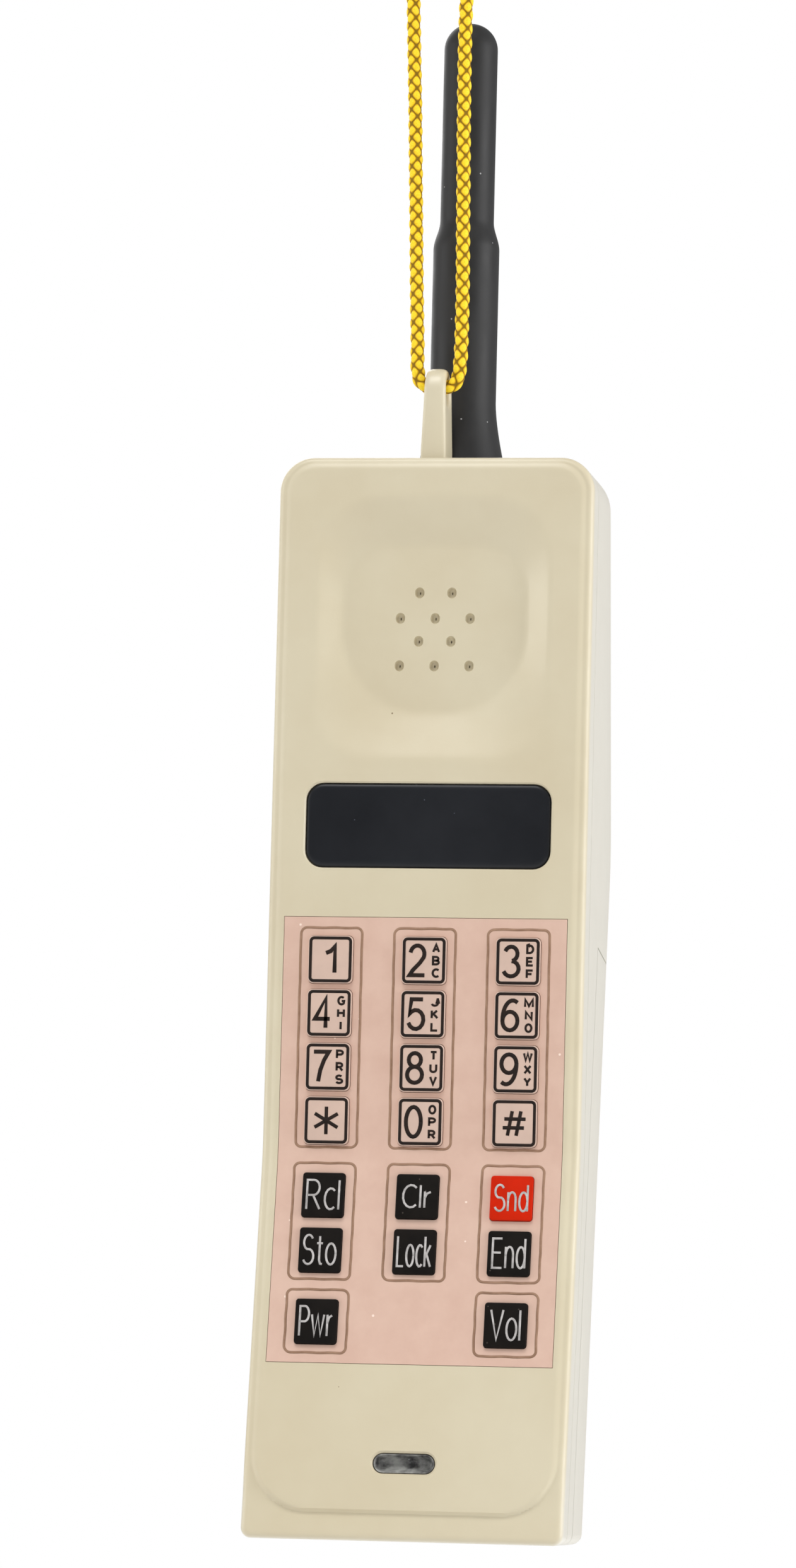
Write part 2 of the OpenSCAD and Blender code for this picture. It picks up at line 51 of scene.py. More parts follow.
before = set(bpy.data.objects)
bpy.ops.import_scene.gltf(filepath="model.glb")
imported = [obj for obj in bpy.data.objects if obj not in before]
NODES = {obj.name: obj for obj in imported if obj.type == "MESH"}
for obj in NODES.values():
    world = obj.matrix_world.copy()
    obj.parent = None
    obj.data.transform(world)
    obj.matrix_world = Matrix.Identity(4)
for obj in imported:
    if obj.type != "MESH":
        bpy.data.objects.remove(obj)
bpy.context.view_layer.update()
MM = 0.001

# ---------------------------------------------------------------- the frame's own sizes


def node_size(node):
    """Width, depth and height of a CAD node, in millimetres."""
    low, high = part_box(node)
    return (np.array(high) - np.array(low)) / MM


COVER_LOW, COVER_HIGH = (np.array(corner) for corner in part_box("front_cover"))
LENS_SINK = 0.1 * MM  # the lens lies this far behind the upper face
ORIGIN = np.array(
    [
        (COVER_LOW[0] + COVER_HIGH[0]) / 2,
        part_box("display_window")[0].y - LENS_SINK,
        COVER_LOW[2],
    ]
)


def middle(node):
    """Middle of a CAD node, in millimetres from the middle of the base."""
    low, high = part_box(node)
    return ((np.array(low) + np.array(high)) / 2 - ORIGIN) / MM


CASE_W, _, CASE_H = node_size("front_cover")
LENS_W, _, LENS_H = node_size("display_window")
LENS_Z = middle("display_window")[2]
PANEL_W = node_size("keypad_panel")[0]
PANEL_LOW = (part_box("keypad_panel")[0].z - ORIGIN[2]) / MM
PANEL_HIGH = (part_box("keypad_panel")[1].z - ORIGIN[2]) / MM
EAR_Z = middle("earpiece_speaker")[2]
ANT_X, ANT_Y, _ = middle("antenna_sheath")
ANT_TOP = (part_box("antenna_sheath")[1].z - ORIGIN[2]) / MM

BEND_Z = 72.0  # height of the bend in the face
CHIN = math.radians(10)  # tilt of the face below it
WAIST_Z = 132.0  # deepest point of the back
WAIST_Y = 40.0
LOW_BACK = math.radians(9.25)  # tilt of the back below it
TOP_BACK = math.radians(9.67)  # and above it
SEAM_D = 7.0  # depth of the front cover
WALL = 2.0
TOP_CORNER = 6.6
FOOT_CORNER = 2.0
CROWN_R = 10.0  # rounding of the top of the back
PACK_T = 17.0
PACK_TOP = 22.0
BAY_GAP = 0.3
MIC_Z = 14.5
SCREWS = [(x, z) for x in (-25.5, 25.5) for z in (12.0, 112.0, 186.0)]

NUMBER_KEYS = ("1", "2", "3", "4", "5", "6", "7", "8", "9", "star", "0", "hash")
FUNCTION_KEYS = ("rcl", "clr", "snd", "sto", "lock", "end", "pwr", "vol")
LETTERS = {
    "2": "ABC", "3": "DEF", "4": "GHI", "5": "JKL", "6": "MNO",
    "7": "PRS", "8": "TUV", "9": "WXY", "0": "OPR",
}  # fmt: skip
SIGNS = {"star": "*", "hash": "#"}
# the cord's route, from inside the eye round the loop and back to where it began
CORD_ROUTE = np.array([
    [-1.3, 7, 219.3], [-3.2, 7, 219.5], [-4.7, 7, 220.8], [-5.3, 7, 223.4], [-5.4, 7, 228],
    [-5.8, 7, 238], [-6.2, 7, 250], [-6.6, 7, 262], [-7, 7, 274], [-7.5, 7, 286],
    [-7.9, 7, 296], [-8.3, 7, 301], [-7.6, 7, 305.5], [-5.6, 7, 308], [-2.7, 7, 308.8],
    [0.2, 7, 308], [2.2, 7, 305.5], [2.9, 7, 301], [2.5, 7, 296], [2.4, 7, 286],
    [2.5, 7, 274], [2.7, 7, 262], [2.9, 7, 250], [3.1, 7, 238], [3.1, 7, 228],
    [2.9, 7, 223.4], [2.4, 7, 220.8], [0.8, 7, 219.5], [-1.1, 7, 219.3],
])  # fmt: skip


def at(points):
    """Millimetres from the middle of the base, as metres in the frame."""
    return np.asarray(points, float) * MM + ORIGIN


# ---------------------------------------------------------------- settings


def millimetres(name, description, default, low, high):
    return bpy.props.FloatProperty(
        name=name, description=description, default=default, min=low, max=high, precision=2
    )


def colour(name, description, default):
    return bpy.props.FloatVectorProperty(
        name=name, description=description, default=default, min=0, max=1, size=3, subtype="COLOR"
    )


def srgb(red, green, blue):
    """A colour as the eye reads it, 0 to 255, turned into linear light."""
    c = np.array([red, green, blue]) / 255
    return tuple(np.where(c <= 0.04045, c / 12.92, ((c + 0.055) / 1.055) ** 2.4).tolist())


class CaseSizes(bpy.types.PropertyGroup):
    """Rounding and relief of the case, in millimetres."""

    edge: millimetres("Edge", "Rounding of the front edge", 1.3, 0.3, 2.0)
    back_edge: millimetres("Back edge", "Rounding of the edges of the back", 4.5, 1.0, 6.0)
    band: millimetres("Band", "How far the band round the face lies behind it", 0.32, 0.0, 0.8)
    step: millimetres("Step", "Width of the slope from the band up to the face", 1.3, 0.3, 2.0)
    dish: millimetres("Dish", "Depth of the ear dish", 3.0, 0.5, 3.0)


class KeySizes(bpy.types.PropertyGroup):
    """Relief of the keys and their print, in millimetres."""

    edge: millimetres("Edge", "Rounding of a key's top edge", 0.15, 0.1, 0.6)
    ring: millimetres("Ring", "Width of the printed ring round a number key", 0.56, 0.2, 1.0)
    ink: millimetres("Ink", "Thickness of the print", 0.03, 0.01, 0.1)
    line: millimetres("Line", "Width of the line round a group of keys", 0.48, 0.1, 0.6)
    gap: millimetres("Gap", "Clearance round a key", 0.1, 0.05, 0.2)


class CordSizes(bpy.types.PropertyGroup):
    """Braid of the hanging cord."""

    diameter: millimetres("Diameter", "Diameter of the cord", 2.8, 2.0, 3.0)
    lozenge: millimetres("Lozenge", "Length of one lozenge of the braid", 2.77, 1.5, 4.0)
    relief: millimetres("Relief", "Depth of the grooves between strands", 0.34, 0.1, 0.6)
    strands: bpy.props.IntProperty(
        name="Strands", description="Strands that turn each way", default=3, min=2, max=8
    )


class Finishes(bpy.types.PropertyGroup):
    """Colours of the finishes."""

    beige: colour("Beige", "Front of the case", srgb(213, 203, 176))
    beige_dark: colour("Dark beige", "Handled patches of the front", srgb(206, 194, 165))
    # Paler than the beige: painted light, standing in for the light that falls on the sides and
    # back; the paint is one beige all over.
    side: colour("Side", "Sides and back of the case", srgb(222, 218, 207))
    pink: colour("Pink", "Keypad panel", srgb(217, 184, 166))
    pink_dark: colour("Dark pink", "Mottle of the keypad panel", srgb(210, 175, 157))
    key: colour("Key", "Number keys", srgb(210, 182, 166))
    red: colour("Red", "Send key", srgb(205, 36, 4))
    yellow: colour("Yellow", "Strands of the cord", srgb(252, 206, 6))
    # Painted shade: the dark colour put in the gaps between the strands, where shade falls.
    gap_shade: colour("Olive", "Gaps between the strands", srgb(134, 102, 6))


class StageLook(bpy.types.PropertyGroup):
    """Camera and light."""

    azimuth: bpy.props.FloatProperty(
        name="Azimuth", description="Turn of the camera to the right", subtype="ANGLE",
        default=math.radians(9.5),
    )  # fmt: skip
    elevation: bpy.props.FloatProperty(
        name="Elevation", description="Height of the camera", subtype="ANGLE",
        default=math.radians(-6),
    )  # fmt: skip
    roll: bpy.props.FloatProperty(
        name="Roll", description="Roll of the camera", subtype="ANGLE", default=math.radians(1.43)
    )
    distance: bpy.props.FloatProperty(
        name="Distance", description="Camera to phone", subtype="DISTANCE", default=1.2
    )
    ambient: bpy.props.FloatProperty(
        name="Ambient", description="Light from all round", default=0.38, min=0, max=1
    )
    frame_height: bpy.props.FloatProperty(
        name="Frame height", description="Height seen at the phone", subtype="DISTANCE",
        default=0.2969,
    )  # fmt: skip


SETTINGS = {
    "phone_case": CaseSizes,
    "phone_keys": KeySizes,
    "phone_cord": CordSizes,
    "phone_finishes": Finishes,
    "phone_stage": StageLook,
}


def settings(name):
    return getattr(bpy.context.scene, name)


# ---------------------------------------------------------------- meshes from arrays


def grid_faces(rows, cols, around=False):
    """Quads of a grid of rows by cols points; around joins the last column to the first."""
    i, j = np.meshgrid(np.arange(rows - 1), np.arange(cols if around else cols - 1), indexing="ij")
    after = (j + 1) % cols
    corners = [i * cols + j, i * cols + after, (i + 1) * cols + after, (i + 1) * cols + j]
    return np.stack(corners, -1).reshape(-1, 4)


def mesh_of(name, points, corners, sizes):
    """A mesh of points in the frame, with its polygons as corner indices and corner counts."""
    mesh = bpy.data.meshes.new(name)
    mesh.vertices.add(len(points))
    mesh.vertices.foreach_set("co", points.astype(np.float32).ravel())
    mesh.loops.add(len(corners))
    mesh.loops.foreach_set("vertex_index", corners.astype(np.int32))
    mesh.polygons.add(len(sizes))
    starts = np.concatenate([[0], np.cumsum(sizes)[:-1]]).astype(np.int32)
    mesh.polygons.foreach_set("loop_start", starts)
    mesh.update(calc_edges=True)
    return mesh


def placed(name, data):
    """An object of a mesh, light or camera, in the scene."""
    obj = bpy.data.objects.new(name, data)
    bpy.context.scene.collection.objects.link(obj)
    return obj


def new_object(name, points, *faces):
    """An object of those points, with each array of faces as wide as its polygons have corners."""
    corners = np.concatenate([f.ravel() for f in faces])
    sizes = np.concatenate([np.full(len(f), f.shape[1]) for f in faces])
    mesh = mesh_of(name, at(points), corners, sizes)
    mesh.validate()
    return placed(name, mesh)


def vertices(obj):
    """Where the object's mesh has its points, in the frame."""
    co = np.zeros(len(obj.data.vertices) * 3, np.float32)
    obj.data.vertices.foreach_get("co", co)
    return co.reshape(-1, 3)


def face_outwards(obj):
    """Recalculate the normals of a closed mesh so that they point out."""
    work = bmesh.new()
    work.from_mesh(obj.data)
    bmesh.ops.recalc_face_normals(work, faces=work.faces)
    work.to_mesh(obj.data)
    work.free()


def stack(name, rings):
    """A closed solid of rings of equal length, (n, k, 3), with a flat cap at each end."""
    rings = np.asarray(rings, float)
    n, k = rings.shape[:2]
    caps = np.array([np.arange(k)[::-1], np.arange(k) + (n - 1) * k])
    obj = new_object(name, rings.reshape(-1, 3), grid_faces(n, k, around=True), caps)
    face_outwards(obj)
    return obj


def join(name, objects):
    """One object of several, with their meshes copied side by side."""
    points, corners, sizes, start = [], [], [], 0
    for obj in objects:
        mesh = obj.data
        index = np.zeros(len(mesh.loops), np.int32)
        mesh.loops.foreach_get("vertex_index", index)
        total = np.zeros(len(mesh.polygons), np.int32)
        mesh.polygons.foreach_get("loop_total", total)
        points.append(vertices(obj))
        corners.append(index + start)
        sizes.append(total)
        start += len(mesh.vertices)
    mesh = mesh_of(name, *(np.concatenate(part) for part in (points, corners, sizes)))
    for obj in objects:
        drop(obj)
    return placed(name, mesh)


def drop(obj):
    data = obj.data
    bpy.data.objects.remove(obj)
    if isinstance(data, bpy.types.Mesh) and not data.users:
        bpy.data.meshes.remove(data)


def baked(obj):
    """The object's mesh with its modifiers worked in."""
    bpy.context.view_layer.update()
    shown = obj.evaluated_get(bpy.context.evaluated_depsgraph_get())
    mesh = bpy.data.meshes.new_from_object(shown)
    old = obj.data
    obj.modifiers.clear()
    obj.data = mesh
    if isinstance(old, bpy.types.Mesh) and not old.users:
        bpy.data.meshes.remove(old)
    return obj


def carve(obj, tool, how="DIFFERENCE"):
    """Cut tool out of obj, add it or keep what they share; tool is used up."""
    change = obj.modifiers.new("carve", "BOOLEAN")
    change.operation = how
    change.solver = "EXACT"
    change.object = tool
    baked(obj)
    drop(tool)
    return obj


def smooth(obj, angle=28.0):
    """Smooth shading, with edges sharper than the angle kept sharp."""
    mesh = obj.data
    mesh.polygons.foreach_set("use_smooth", np.ones(len(mesh.polygons), bool))
    mesh.set_sharp_from_angle(angle=math.radians(angle))
    return obj


def piece(obj, material, body, replaces=()):
    """Give a finished object its material and body, and say which CAD nodes it stands for."""
    obj.data.materials.clear()
    obj.data.materials.append(material)
    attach(obj, body)
    if replaces:
        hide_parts(*replaces)
    return obj


# ---------------------------------------------------------------- outlines and profiles


def full_turn(n):
    """n angles spaced evenly round a circle."""
    return np.linspace(0, 2 * math.pi, n, endpoint=False)


def ease(t):
    """0 to 1 with a level start and end."""
    t = np.clip(t, 0, 1)
    return t * t * (3 - 2 * t)


def soft_ramp(d, reach):
    """d where it is positive and 0 elsewhere, with a parabola of that reach between them."""
    d = np.asarray(d, float)
    return np.where(np.abs(d) < reach, (d + reach) ** 2 / (4 * reach), np.maximum(d, 0))


def quarter(d, r):
    """How far a round edge of radius r falls back at distance d inside it."""
    inside = np.clip(r - np.asarray(d, float), 0, r)
    return r - np.sqrt(r * r - inside * inside)


def face_line(z):
    """Depth of the face at a height: 0 above the bend, and forward below it."""
    return -math.tan(CHIN) * soft_ramp(BEND_Z - np.asarray(z, float), 3.5)


def back_line(z, g=0.0):
    """Depth of the back at a height, g inside: two slopes from the waist, a round crown
    that meets the top, and a small round edge at the base."""
    z = np.asarray(z, float)
    low = math.tan(LOW_BACK) * soft_ramp(WAIST_Z - z, 6) + g / math.cos(LOW_BACK)
    high = math.tan(TOP_BACK) * soft_ramp(z - WAIST_Z, 6)
    crown_z = CASE_H - CROWN_R
    crown_y = (
        WAIST_Y - (crown_z - WAIST_Z) * math.tan(TOP_BACK) - CROWN_R / math.cos(TOP_BACK)
    )
    r = CROWN_R - g
    crown = crown_y + np.sqrt(np.maximum(r * r - (z - crown_z) ** 2, 0))
    foot = quarter(z - g, 1.5) if g == 0 else 0
    return np.where(z > crown_z + r * math.sin(TOP_BACK), crown, WAIST_Y - low - high) - foot


def half_width(z, g=0.0):
    """Half the width of the case at a height, g inside: its corners are arcs."""
    z = np.asarray(z, float)
    top_r, foot_r = TOP_CORNER - g, max(FOOT_CORNER - g, 0.4)
    up = np.clip(z - (CASE_H - g - top_r), 0, top_r)
    down = np.clip(g + foot_r - z, 0, foot_r)
    narrow = top_r - np.sqrt(top_r**2 - up**2) + foot_r - np.sqrt(foot_r**2 - down**2)
    return CASE_W / 2 - g - narrow


def inside_box(x, z, low, high, width, r_low, r_high):
    """Distance inside a box with round corners, between two heights: negative outside."""
    across, down, up = width / 2 - np.abs(x), z - low, high - z
    rise, r = np.where(down < up, down, up), np.where(down < up, r_low, r_high)
    ca, cr = np.minimum(across - r, 0), np.minimum(rise - r, 0)
    corner = (across < r) & (rise < r)
    return np.where(corner, r - np.hypot(ca, cr), np.minimum(across, rise))


def round_outline(w, h, r, n=8, sides=0):
    """Points round a w by h rectangle whose corners are arcs of radius r, anticlockwise, with
    more points between the corners if sides says so."""
    r = max(min(r, w / 2, h / 2), 0.01)
    turn = np.linspace(0, math.pi / 2, n)
    corners = []
    for k, (sx, sz) in enumerate(((1, 1), (-1, 1), (-1, -1), (1, -1))):
        a = turn + k * math.pi / 2
        corners.append(
            np.stack([sx * (w / 2 - r) + r * np.cos(a), sz * (h / 2 - r) + r * np.sin(a)], 1)
        )
    if sides:
        share = np.linspace(0, 1, sides + 2)[1:-1, None]
        corners = [
            np.concatenate([here, here[-1] * (1 - share) + then[0] * share])
            for here, then in zip(corners, corners[1:] + corners[:1])
        ]
    return np.concatenate(corners)


def on_face(outline, d, x=0.0, z=0.0):
    """Put an outline (across, up) flat on the face at (x, z), d behind it. Below the bend it
    tilts with the face."""
    a = CHIN if z < BEND_Z else 0.0
    y0 = -(BEND_Z - z) * math.tan(CHIN) if z < BEND_Z else 0.0
    u, v = outline[:, 0], outline[:, 1]
    return np.stack(
        [x + u, y0 + d * math.cos(a) + v * math.sin(a), z + v * math.cos(a) - d * math.sin(a)], 1
    )


def key_stack(name, w, h, r, steps, x, z):
    """A solid on the face at (x, z) whose outline is drawn in by each step's first number at
    the depth of its second."""
    rings = [on_face(round_outline(w - 2 * g, h - 2 * g, r - g), d, x, z) for g, d in steps]
    return stack(name, rings)


def on_back(points):
    """Points given as (x, out of the lower back, up along it) from the waist."""
    p = np.asarray(points, float)
    c, s = math.cos(LOW_BACK), math.sin(LOW_BACK)
    return np.stack(
        [
            p[..., 0],
            WAIST_Y + p[..., 1] * c + p[..., 2] * s,
            WAIST_Z - p[..., 1] * s + p[..., 2] * c,
        ],
        -1,
    )


def back_box(name, low, high):
    """A box in the frame of the lower back, between two corners."""
    (x0, y0, z0), (x1, y1, z1) = low, high
    ring = np.array([[x0, y0], [x1, y0], [x1, y1], [x0, y1]])
    rings = [np.column_stack([ring, np.full(4, z)]) for z in (z0, z1)]
    return stack(name, on_back(rings))


def circle_at(x, z, r, y, n=32):
    """Points round a circle across y."""
    turn = full_turn(n)
    return np.stack([x + r * np.cos(turn), np.full(n, y), z + r * np.sin(turn)], 1)


def bar(name, x, z, r, y0, y1):
    """A round bar along y between two depths from the upper face's plane."""
    return stack(name, [circle_at(x, z, r, y) for y in (y0, y1)])


def lathe(name, x, y, profile, n=64):
    """Turn a profile of (radius, height) about an upright axis; it starts and ends on it."""
    profile = np.asarray(profile, float)
    turn = full_turn(n)
    r, z = profile[1:-1, 0][:, None], profile[1:-1, 1][:, None]
    body = np.stack(
        [x + r * np.cos(turn), y + r * np.sin(turn), np.broadcast_to(z, (len(r), n))], -1
    )
    points = np.concatenate(
        [[[x, y, profile[0, 1]]], body.reshape(-1, 3), [[x, y, profile[-1, 1]]]]
    )
    around = np.arange(n)
    after = (around + 1) % n
    last = 1 + (len(r) - 1) * n
    low = np.stack([np.zeros(n, int), 1 + after, 1 + around], 1)
    high = np.stack([np.full(n, len(points) - 1), last + around, last + after], 1)
    return new_object(name, points, grid_faces(len(r), n, around=True) + 1, low, high)


# ---------------------------------------------------------------- shader node groups


def new_group(name, inputs, outputs):
    """An empty shader group with named sockets: (name, kind, default)."""
    group = bpy.data.node_groups.new(name, "ShaderNodeTree")
    for label, kind, default in inputs:
        socket = group.interface.new_socket(label, in_out="INPUT", socket_type="NodeSocket" + kind)
        if default is not None:
            socket.default_value = default
    for label, kind in outputs:
        group.interface.new_socket(label, in_out="OUTPUT", socket_type="NodeSocket" + kind)
    return group, group.nodes.new("NodeGroupInput"), group.nodes.new("NodeGroupOutput")


def add(tree, kind, **values):
    """A node with its properties and inputs set; a name with a space is an input."""
    node = tree.nodes.new("ShaderNode" + kind)
    for name, value in values.items():
        label = name.replace("_", " ").title() if name[0].islower() else name
        if hasattr(node, name):
            setattr(node, name, value)
        else:
            node.inputs[label].default_value = value
    return node


def ramp(tree, factor, low, high, flip=False):
    """Map low..high of a factor to 0..1, or to 1..0."""
    node = add(tree, "MapRange")
    node.inputs["From Min"].default_value = low
    node.inputs["From Max"].default_value = high
    node.inputs["To Min"].default_value = 1 if flip else 0
    node.inputs["To Max"].default_value = 0 if flip else 1
    tree.links.new(factor, node.inputs["Value"])
    return node.outputs["Result"]


def mix_colour(tree, factor, first, second):
    """Mix two colours, each a socket or a value, by a factor socket."""
    node = tree.nodes.new("ShaderNodeMix")
    node.data_type = "RGBA"
    tree.links.new(factor, node.inputs["Factor"])
    for label, value in (("A", first), ("B", second)):
        socket = [s for s in node.inputs if s.name == label and s.type == "RGBA"][0]
        if isinstance(value, bpy.types.NodeSocket):
            tree.links.new(value, socket)
        else:
            socket.default_value = (*value, 1)
    return [s for s in node.outputs if s.type == "RGBA"][0]


def times(tree, value, by):
    node = add(tree, "Math", operation="MULTIPLY")
    tree.links.new(value, node.inputs[0])
    if isinstance(by, bpy.types.NodeSocket):
        tree.links.new(by, node.inputs[1])
    else:
        node.inputs[1].default_value = by
    return node.outputs[0]


def mottle_group():
    """Mottle: mixes two colours by a soft noise, and puts out the noise for roughness."""
    group, into, out = new_group(
        "Mottle",
        [("Colour", "Color", (1, 1, 1, 1)), ("Second Colour", "Color", (0.8, 0.8, 0.8, 1)),
         ("Scale", "Float", 60.0), ("Amount", "Float", 1.0)],
        [("Colour", "Color"), ("Noise", "Float")],
    )  # fmt: skip
    place = group.nodes.new("ShaderNodeTexCoord")
    noise = add(group, "TexNoise", detail=4.0, roughness=0.6)
    group.links.new(place.outputs["Object"], noise.inputs["Vector"])
    group.links.new(into.outputs["Scale"], noise.inputs["Scale"])
    spread = ramp(group, noise.outputs["Fac"], 0.35, 0.68)
    mixed = mix_colour(
        group,
        times(group, spread, into.outputs["Amount"]),
        into.outputs["Colour"],
        into.outputs["Second Colour"],
    )
    group.links.new(mixed, out.inputs["Colour"])
    group.links.new(spread, out.inputs["Noise"])
    return group


def grain_group():
    """Grain: a fine moulded grain over a slow wave of the surface, as a normal."""
    group, into, out = new_group(
        "Grain",
        [("Scale", "Float", 2500.0), ("Strength", "Float", 0.1), ("Wave", "Float", 0.1)],
        [("Normal", "Vector")],
    )
    place = group.nodes.new("ShaderNodeTexCoord")
    fine = add(group, "TexNoise", detail=3.0)
    slow = add(group, "TexNoise", scale=70.0, detail=2.0)
    for noise in (fine, slow):
        group.links.new(place.outputs["Object"], noise.inputs["Vector"])
    group.links.new(into.outputs["Scale"], fine.inputs["Scale"])
    first = add(group, "Bump", distance=0.0006)
    group.links.new(slow.outputs["Fac"], first.inputs["Height"])
    group.links.new(into.outputs["Wave"], first.inputs["Strength"])
    second = add(group, "Bump", distance=0.00005)
    group.links.new(fine.outputs["Fac"], second.inputs["Height"])
    group.links.new(into.outputs["Strength"], second.inputs["Strength"])
    group.links.new(first.outputs["Normal"], second.inputs["Normal"])
    group.links.new(second.outputs["Normal"], out.inputs["Normal"])
    return group


def speck_group():
    """Specks: a mask of small scattered dots, such as dust or flecks of another colour."""
    group, into, out = new_group(
        "Specks",
        [("Scale", "Float", 300.0), ("Size", "Float", 0.12), ("Share", "Float", 0.3)],
        [("Mask", "Float")],
    )
    place = group.nodes.new("ShaderNodeTexCoord")
    cells = add(group, "TexVoronoi", feature="F1")
    group.links.new(place.outputs["Object"], cells.inputs["Vector"])
    group.links.new(into.outputs["Scale"], cells.inputs["Scale"])
    dot = add(group, "Math", operation="LESS_THAN")
    group.links.new(cells.outputs["Distance"], dot.inputs[0])
    group.links.new(into.outputs["Size"], dot.inputs[1])
    pick = group.nodes.new("ShaderNodeSeparateColor")
    group.links.new(cells.outputs["Color"], pick.inputs["Color"])
    some = add(group, "Math", operation="LESS_THAN")
    group.links.new(pick.outputs["Red"], some.inputs[0])
    group.links.new(into.outputs["Share"], some.inputs[1])
    group.links.new(times(group, dot.outputs[0], some.outputs[0]), out.inputs["Mask"])
    return group


def group_node(tree, name, **values):
    """Place a shared group in a material, with its own values."""
    makers = {"Mottle": mottle_group, "Grain": grain_group, "Specks": speck_group}
    group = bpy.data.node_groups.get(name) or makers[name]()
    node = tree.nodes.new("ShaderNodeGroup")
    node.node_tree = group
    for label, value in values.items():
        socket = node.inputs[label.replace("_", " ").title()]
        socket.default_value = (*value, 1) if isinstance(value, tuple) else value
    return node


# ---------------------------------------------------------------- materials


def new_material(name, roughness, metallic=0.0, coat=0.0, specular=0.5):
    """A material with its shader, tree and the values that are the same all over."""
    material = bpy.data.materials.new(name)
    material.use_nodes = True
    tree = material.node_tree
    shader = tree.nodes["Principled BSDF"]
    shader.inputs["Roughness"].default_value = roughness
    shader.inputs["Metallic"].default_value = metallic
    shader.inputs["Coat Weight"].default_value = coat
    shader.inputs["Coat Roughness"].default_value = 0.15
    shader.inputs["Specular IOR Level"].default_value = specular
    return material, tree, shader


def finish(
    name, first, second, roughness, scale=60.0, grain=(2500.0, 0.1, 0.1), specks=None, **shader
):
    """A mottled, grained finish: two colours, roughness that follows the mottle, a grain of
    (scale, strength, wave), and specks of (colour, scale, size, share)."""
    found = bpy.data.materials.get(name)
    if found:
        return found
    material, tree, principled = new_material(name, roughness, **shader)
    mottle = group_node(tree, "Mottle", colour=first, second_colour=second, scale=scale)
    shade = mottle.outputs["Colour"]
    if specks:
        mask = group_node(tree, "Specks", scale=specks[1], size=specks[2], share=specks[3])
        shade = mix_colour(tree, mask.outputs["Mask"], shade, specks[0])
    tree.links.new(shade, principled.inputs["Base Color"])
    rough = add(tree, "MapRange")
    rough.inputs["To Min"].default_value = roughness * 0.88
    rough.inputs["To Max"].default_value = min(roughness * 1.15, 1)
    tree.links.new(mottle.outputs["Noise"], rough.inputs["Value"])
    tree.links.new(rough.outputs["Result"], principled.inputs["Roughness"])
    scale, strength, wave = grain
    bump = group_node(tree, "Grain", scale=scale, strength=strength, wave=wave)
    tree.links.new(bump.outputs["Normal"], principled.inputs["Normal"])
    return material


def tint(shade, by):
    return tuple(min(c * by, 1.0) for c in shade)


def beige_paint():
    """Beige paint on the face that turns on the walls to the paler side colour, which is painted
    light: it stands in for the light falling on the sides. Pieces without the wall mark are beige
    all over."""
    looks = settings("phone_finishes")
    found = bpy.data.materials.get("beige_paint")
    if found:
        return found
    material = finish(
        "beige_paint", tuple(looks.beige), tuple(looks.beige_dark), 0.42, scale=28.0,
        grain=(1800.0, 0.22, 0.12), specks=(srgb(120, 100, 70), 190.0, 0.03, 0.05),
        coat=0.12,
    )  # fmt: skip
    tree = material.node_tree
    shader = tree.nodes["Principled BSDF"]
    shade = shader.inputs["Base Color"].links[0].from_socket
    # On the walls the beige turns to the paler side colour: painted light.
    wall = add(tree, "Attribute", attribute_name="wall")
    mixed = mix_colour(tree, wall.outputs["Fac"], shade, tuple(looks.side))
    tree.links.new(mixed, shader.inputs["Base Color"])
    return material


def pale_lit_paint():
    # The paler side colour for the back and the pieces on it: painted light, standing in for light
    # falling on them.
    looks = settings("phone_finishes")
    return finish(
        "pale_lit_paint", tuple(looks.side), tint(looks.side, 0.93), 0.45, scale=24.0,
        grain=(1800.0, 0.22, 0.12), specks=(srgb(140, 125, 100), 190.0, 0.03, 0.04), coat=0.1,
    )  # fmt: skip


def pink_film():
    looks = settings("phone_finishes")
    return finish(
        "pink_film", tuple(looks.pink), tuple(looks.pink_dark), 0.5, scale=160.0,
        grain=(900.0, 0.35, 0.08), specks=(srgb(244, 222, 208), 420.0, 0.1, 0.12),
    )  # fmt: skip


def key_plastic():
    looks = settings("phone_finishes")
    return finish(
        "key_plastic", tuple(looks.key), tint(looks.key, 0.93), 0.48, scale=220.0,
        grain=(1100.0, 0.3, 0.06),
    )  # fmt: skip


def black_key():
    return finish(
        "black_key", srgb(15, 12, 10), srgb(24, 20, 17), 0.6, scale=240.0,
        grain=(1100.0, 0.35, 0.06), specks=(srgb(70, 64, 58), 700.0, 0.1, 0.2), specular=0.1,
    )  # fmt: skip


def red_key():
    red = tuple(settings("phone_finishes").red)
    return finish(
        "red_key", red, tint(red, 0.85), 0.55, scale=240.0, grain=(1100.0, 0.3, 0.06), specular=0.08
    )


def dark_ink():
    return finish("dark_ink", srgb(26, 17, 13), srgb(42, 30, 24), 0.7, scale=700.0, specular=0.2)


def pale_ink():
    return finish("pale_ink", srgb(196, 192, 190), srgb(160, 156, 154), 0.7, scale=700.0)


def brown_ink():
    return finish("brown_ink", srgb(142, 108, 84), srgb(164, 130, 106), 0.7, scale=420.0)


def lens_gloss():
    return finish(
        "lens_gloss", srgb(19, 21, 26), srgb(25, 27, 32), 0.34, scale=40.0,
        grain=(1500.0, 0.14, 0.16), specks=(srgb(74, 78, 88), 520.0, 0.06, 0.2), specular=0.3,
    )  # fmt: skip


def satin_rubber():
    return finish(
        "satin_rubber", srgb(36, 36, 37), srgb(45, 45, 46), 0.5, scale=90.0,
        grain=(1600.0, 0.14, 0.12), specks=(srgb(160, 160, 162), 420.0, 0.07, 0.2), specular=0.32,
    )  # fmt: skip


def boot_rubber():
    return finish(
        "boot_rubber", srgb(48, 47, 48), srgb(156, 156, 152), 0.42, scale=420.0,
        grain=(900.0, 0.6, 0.3), specks=(srgb(176, 180, 182), 900.0, 0.13, 0.16),
    )  # fmt: skip


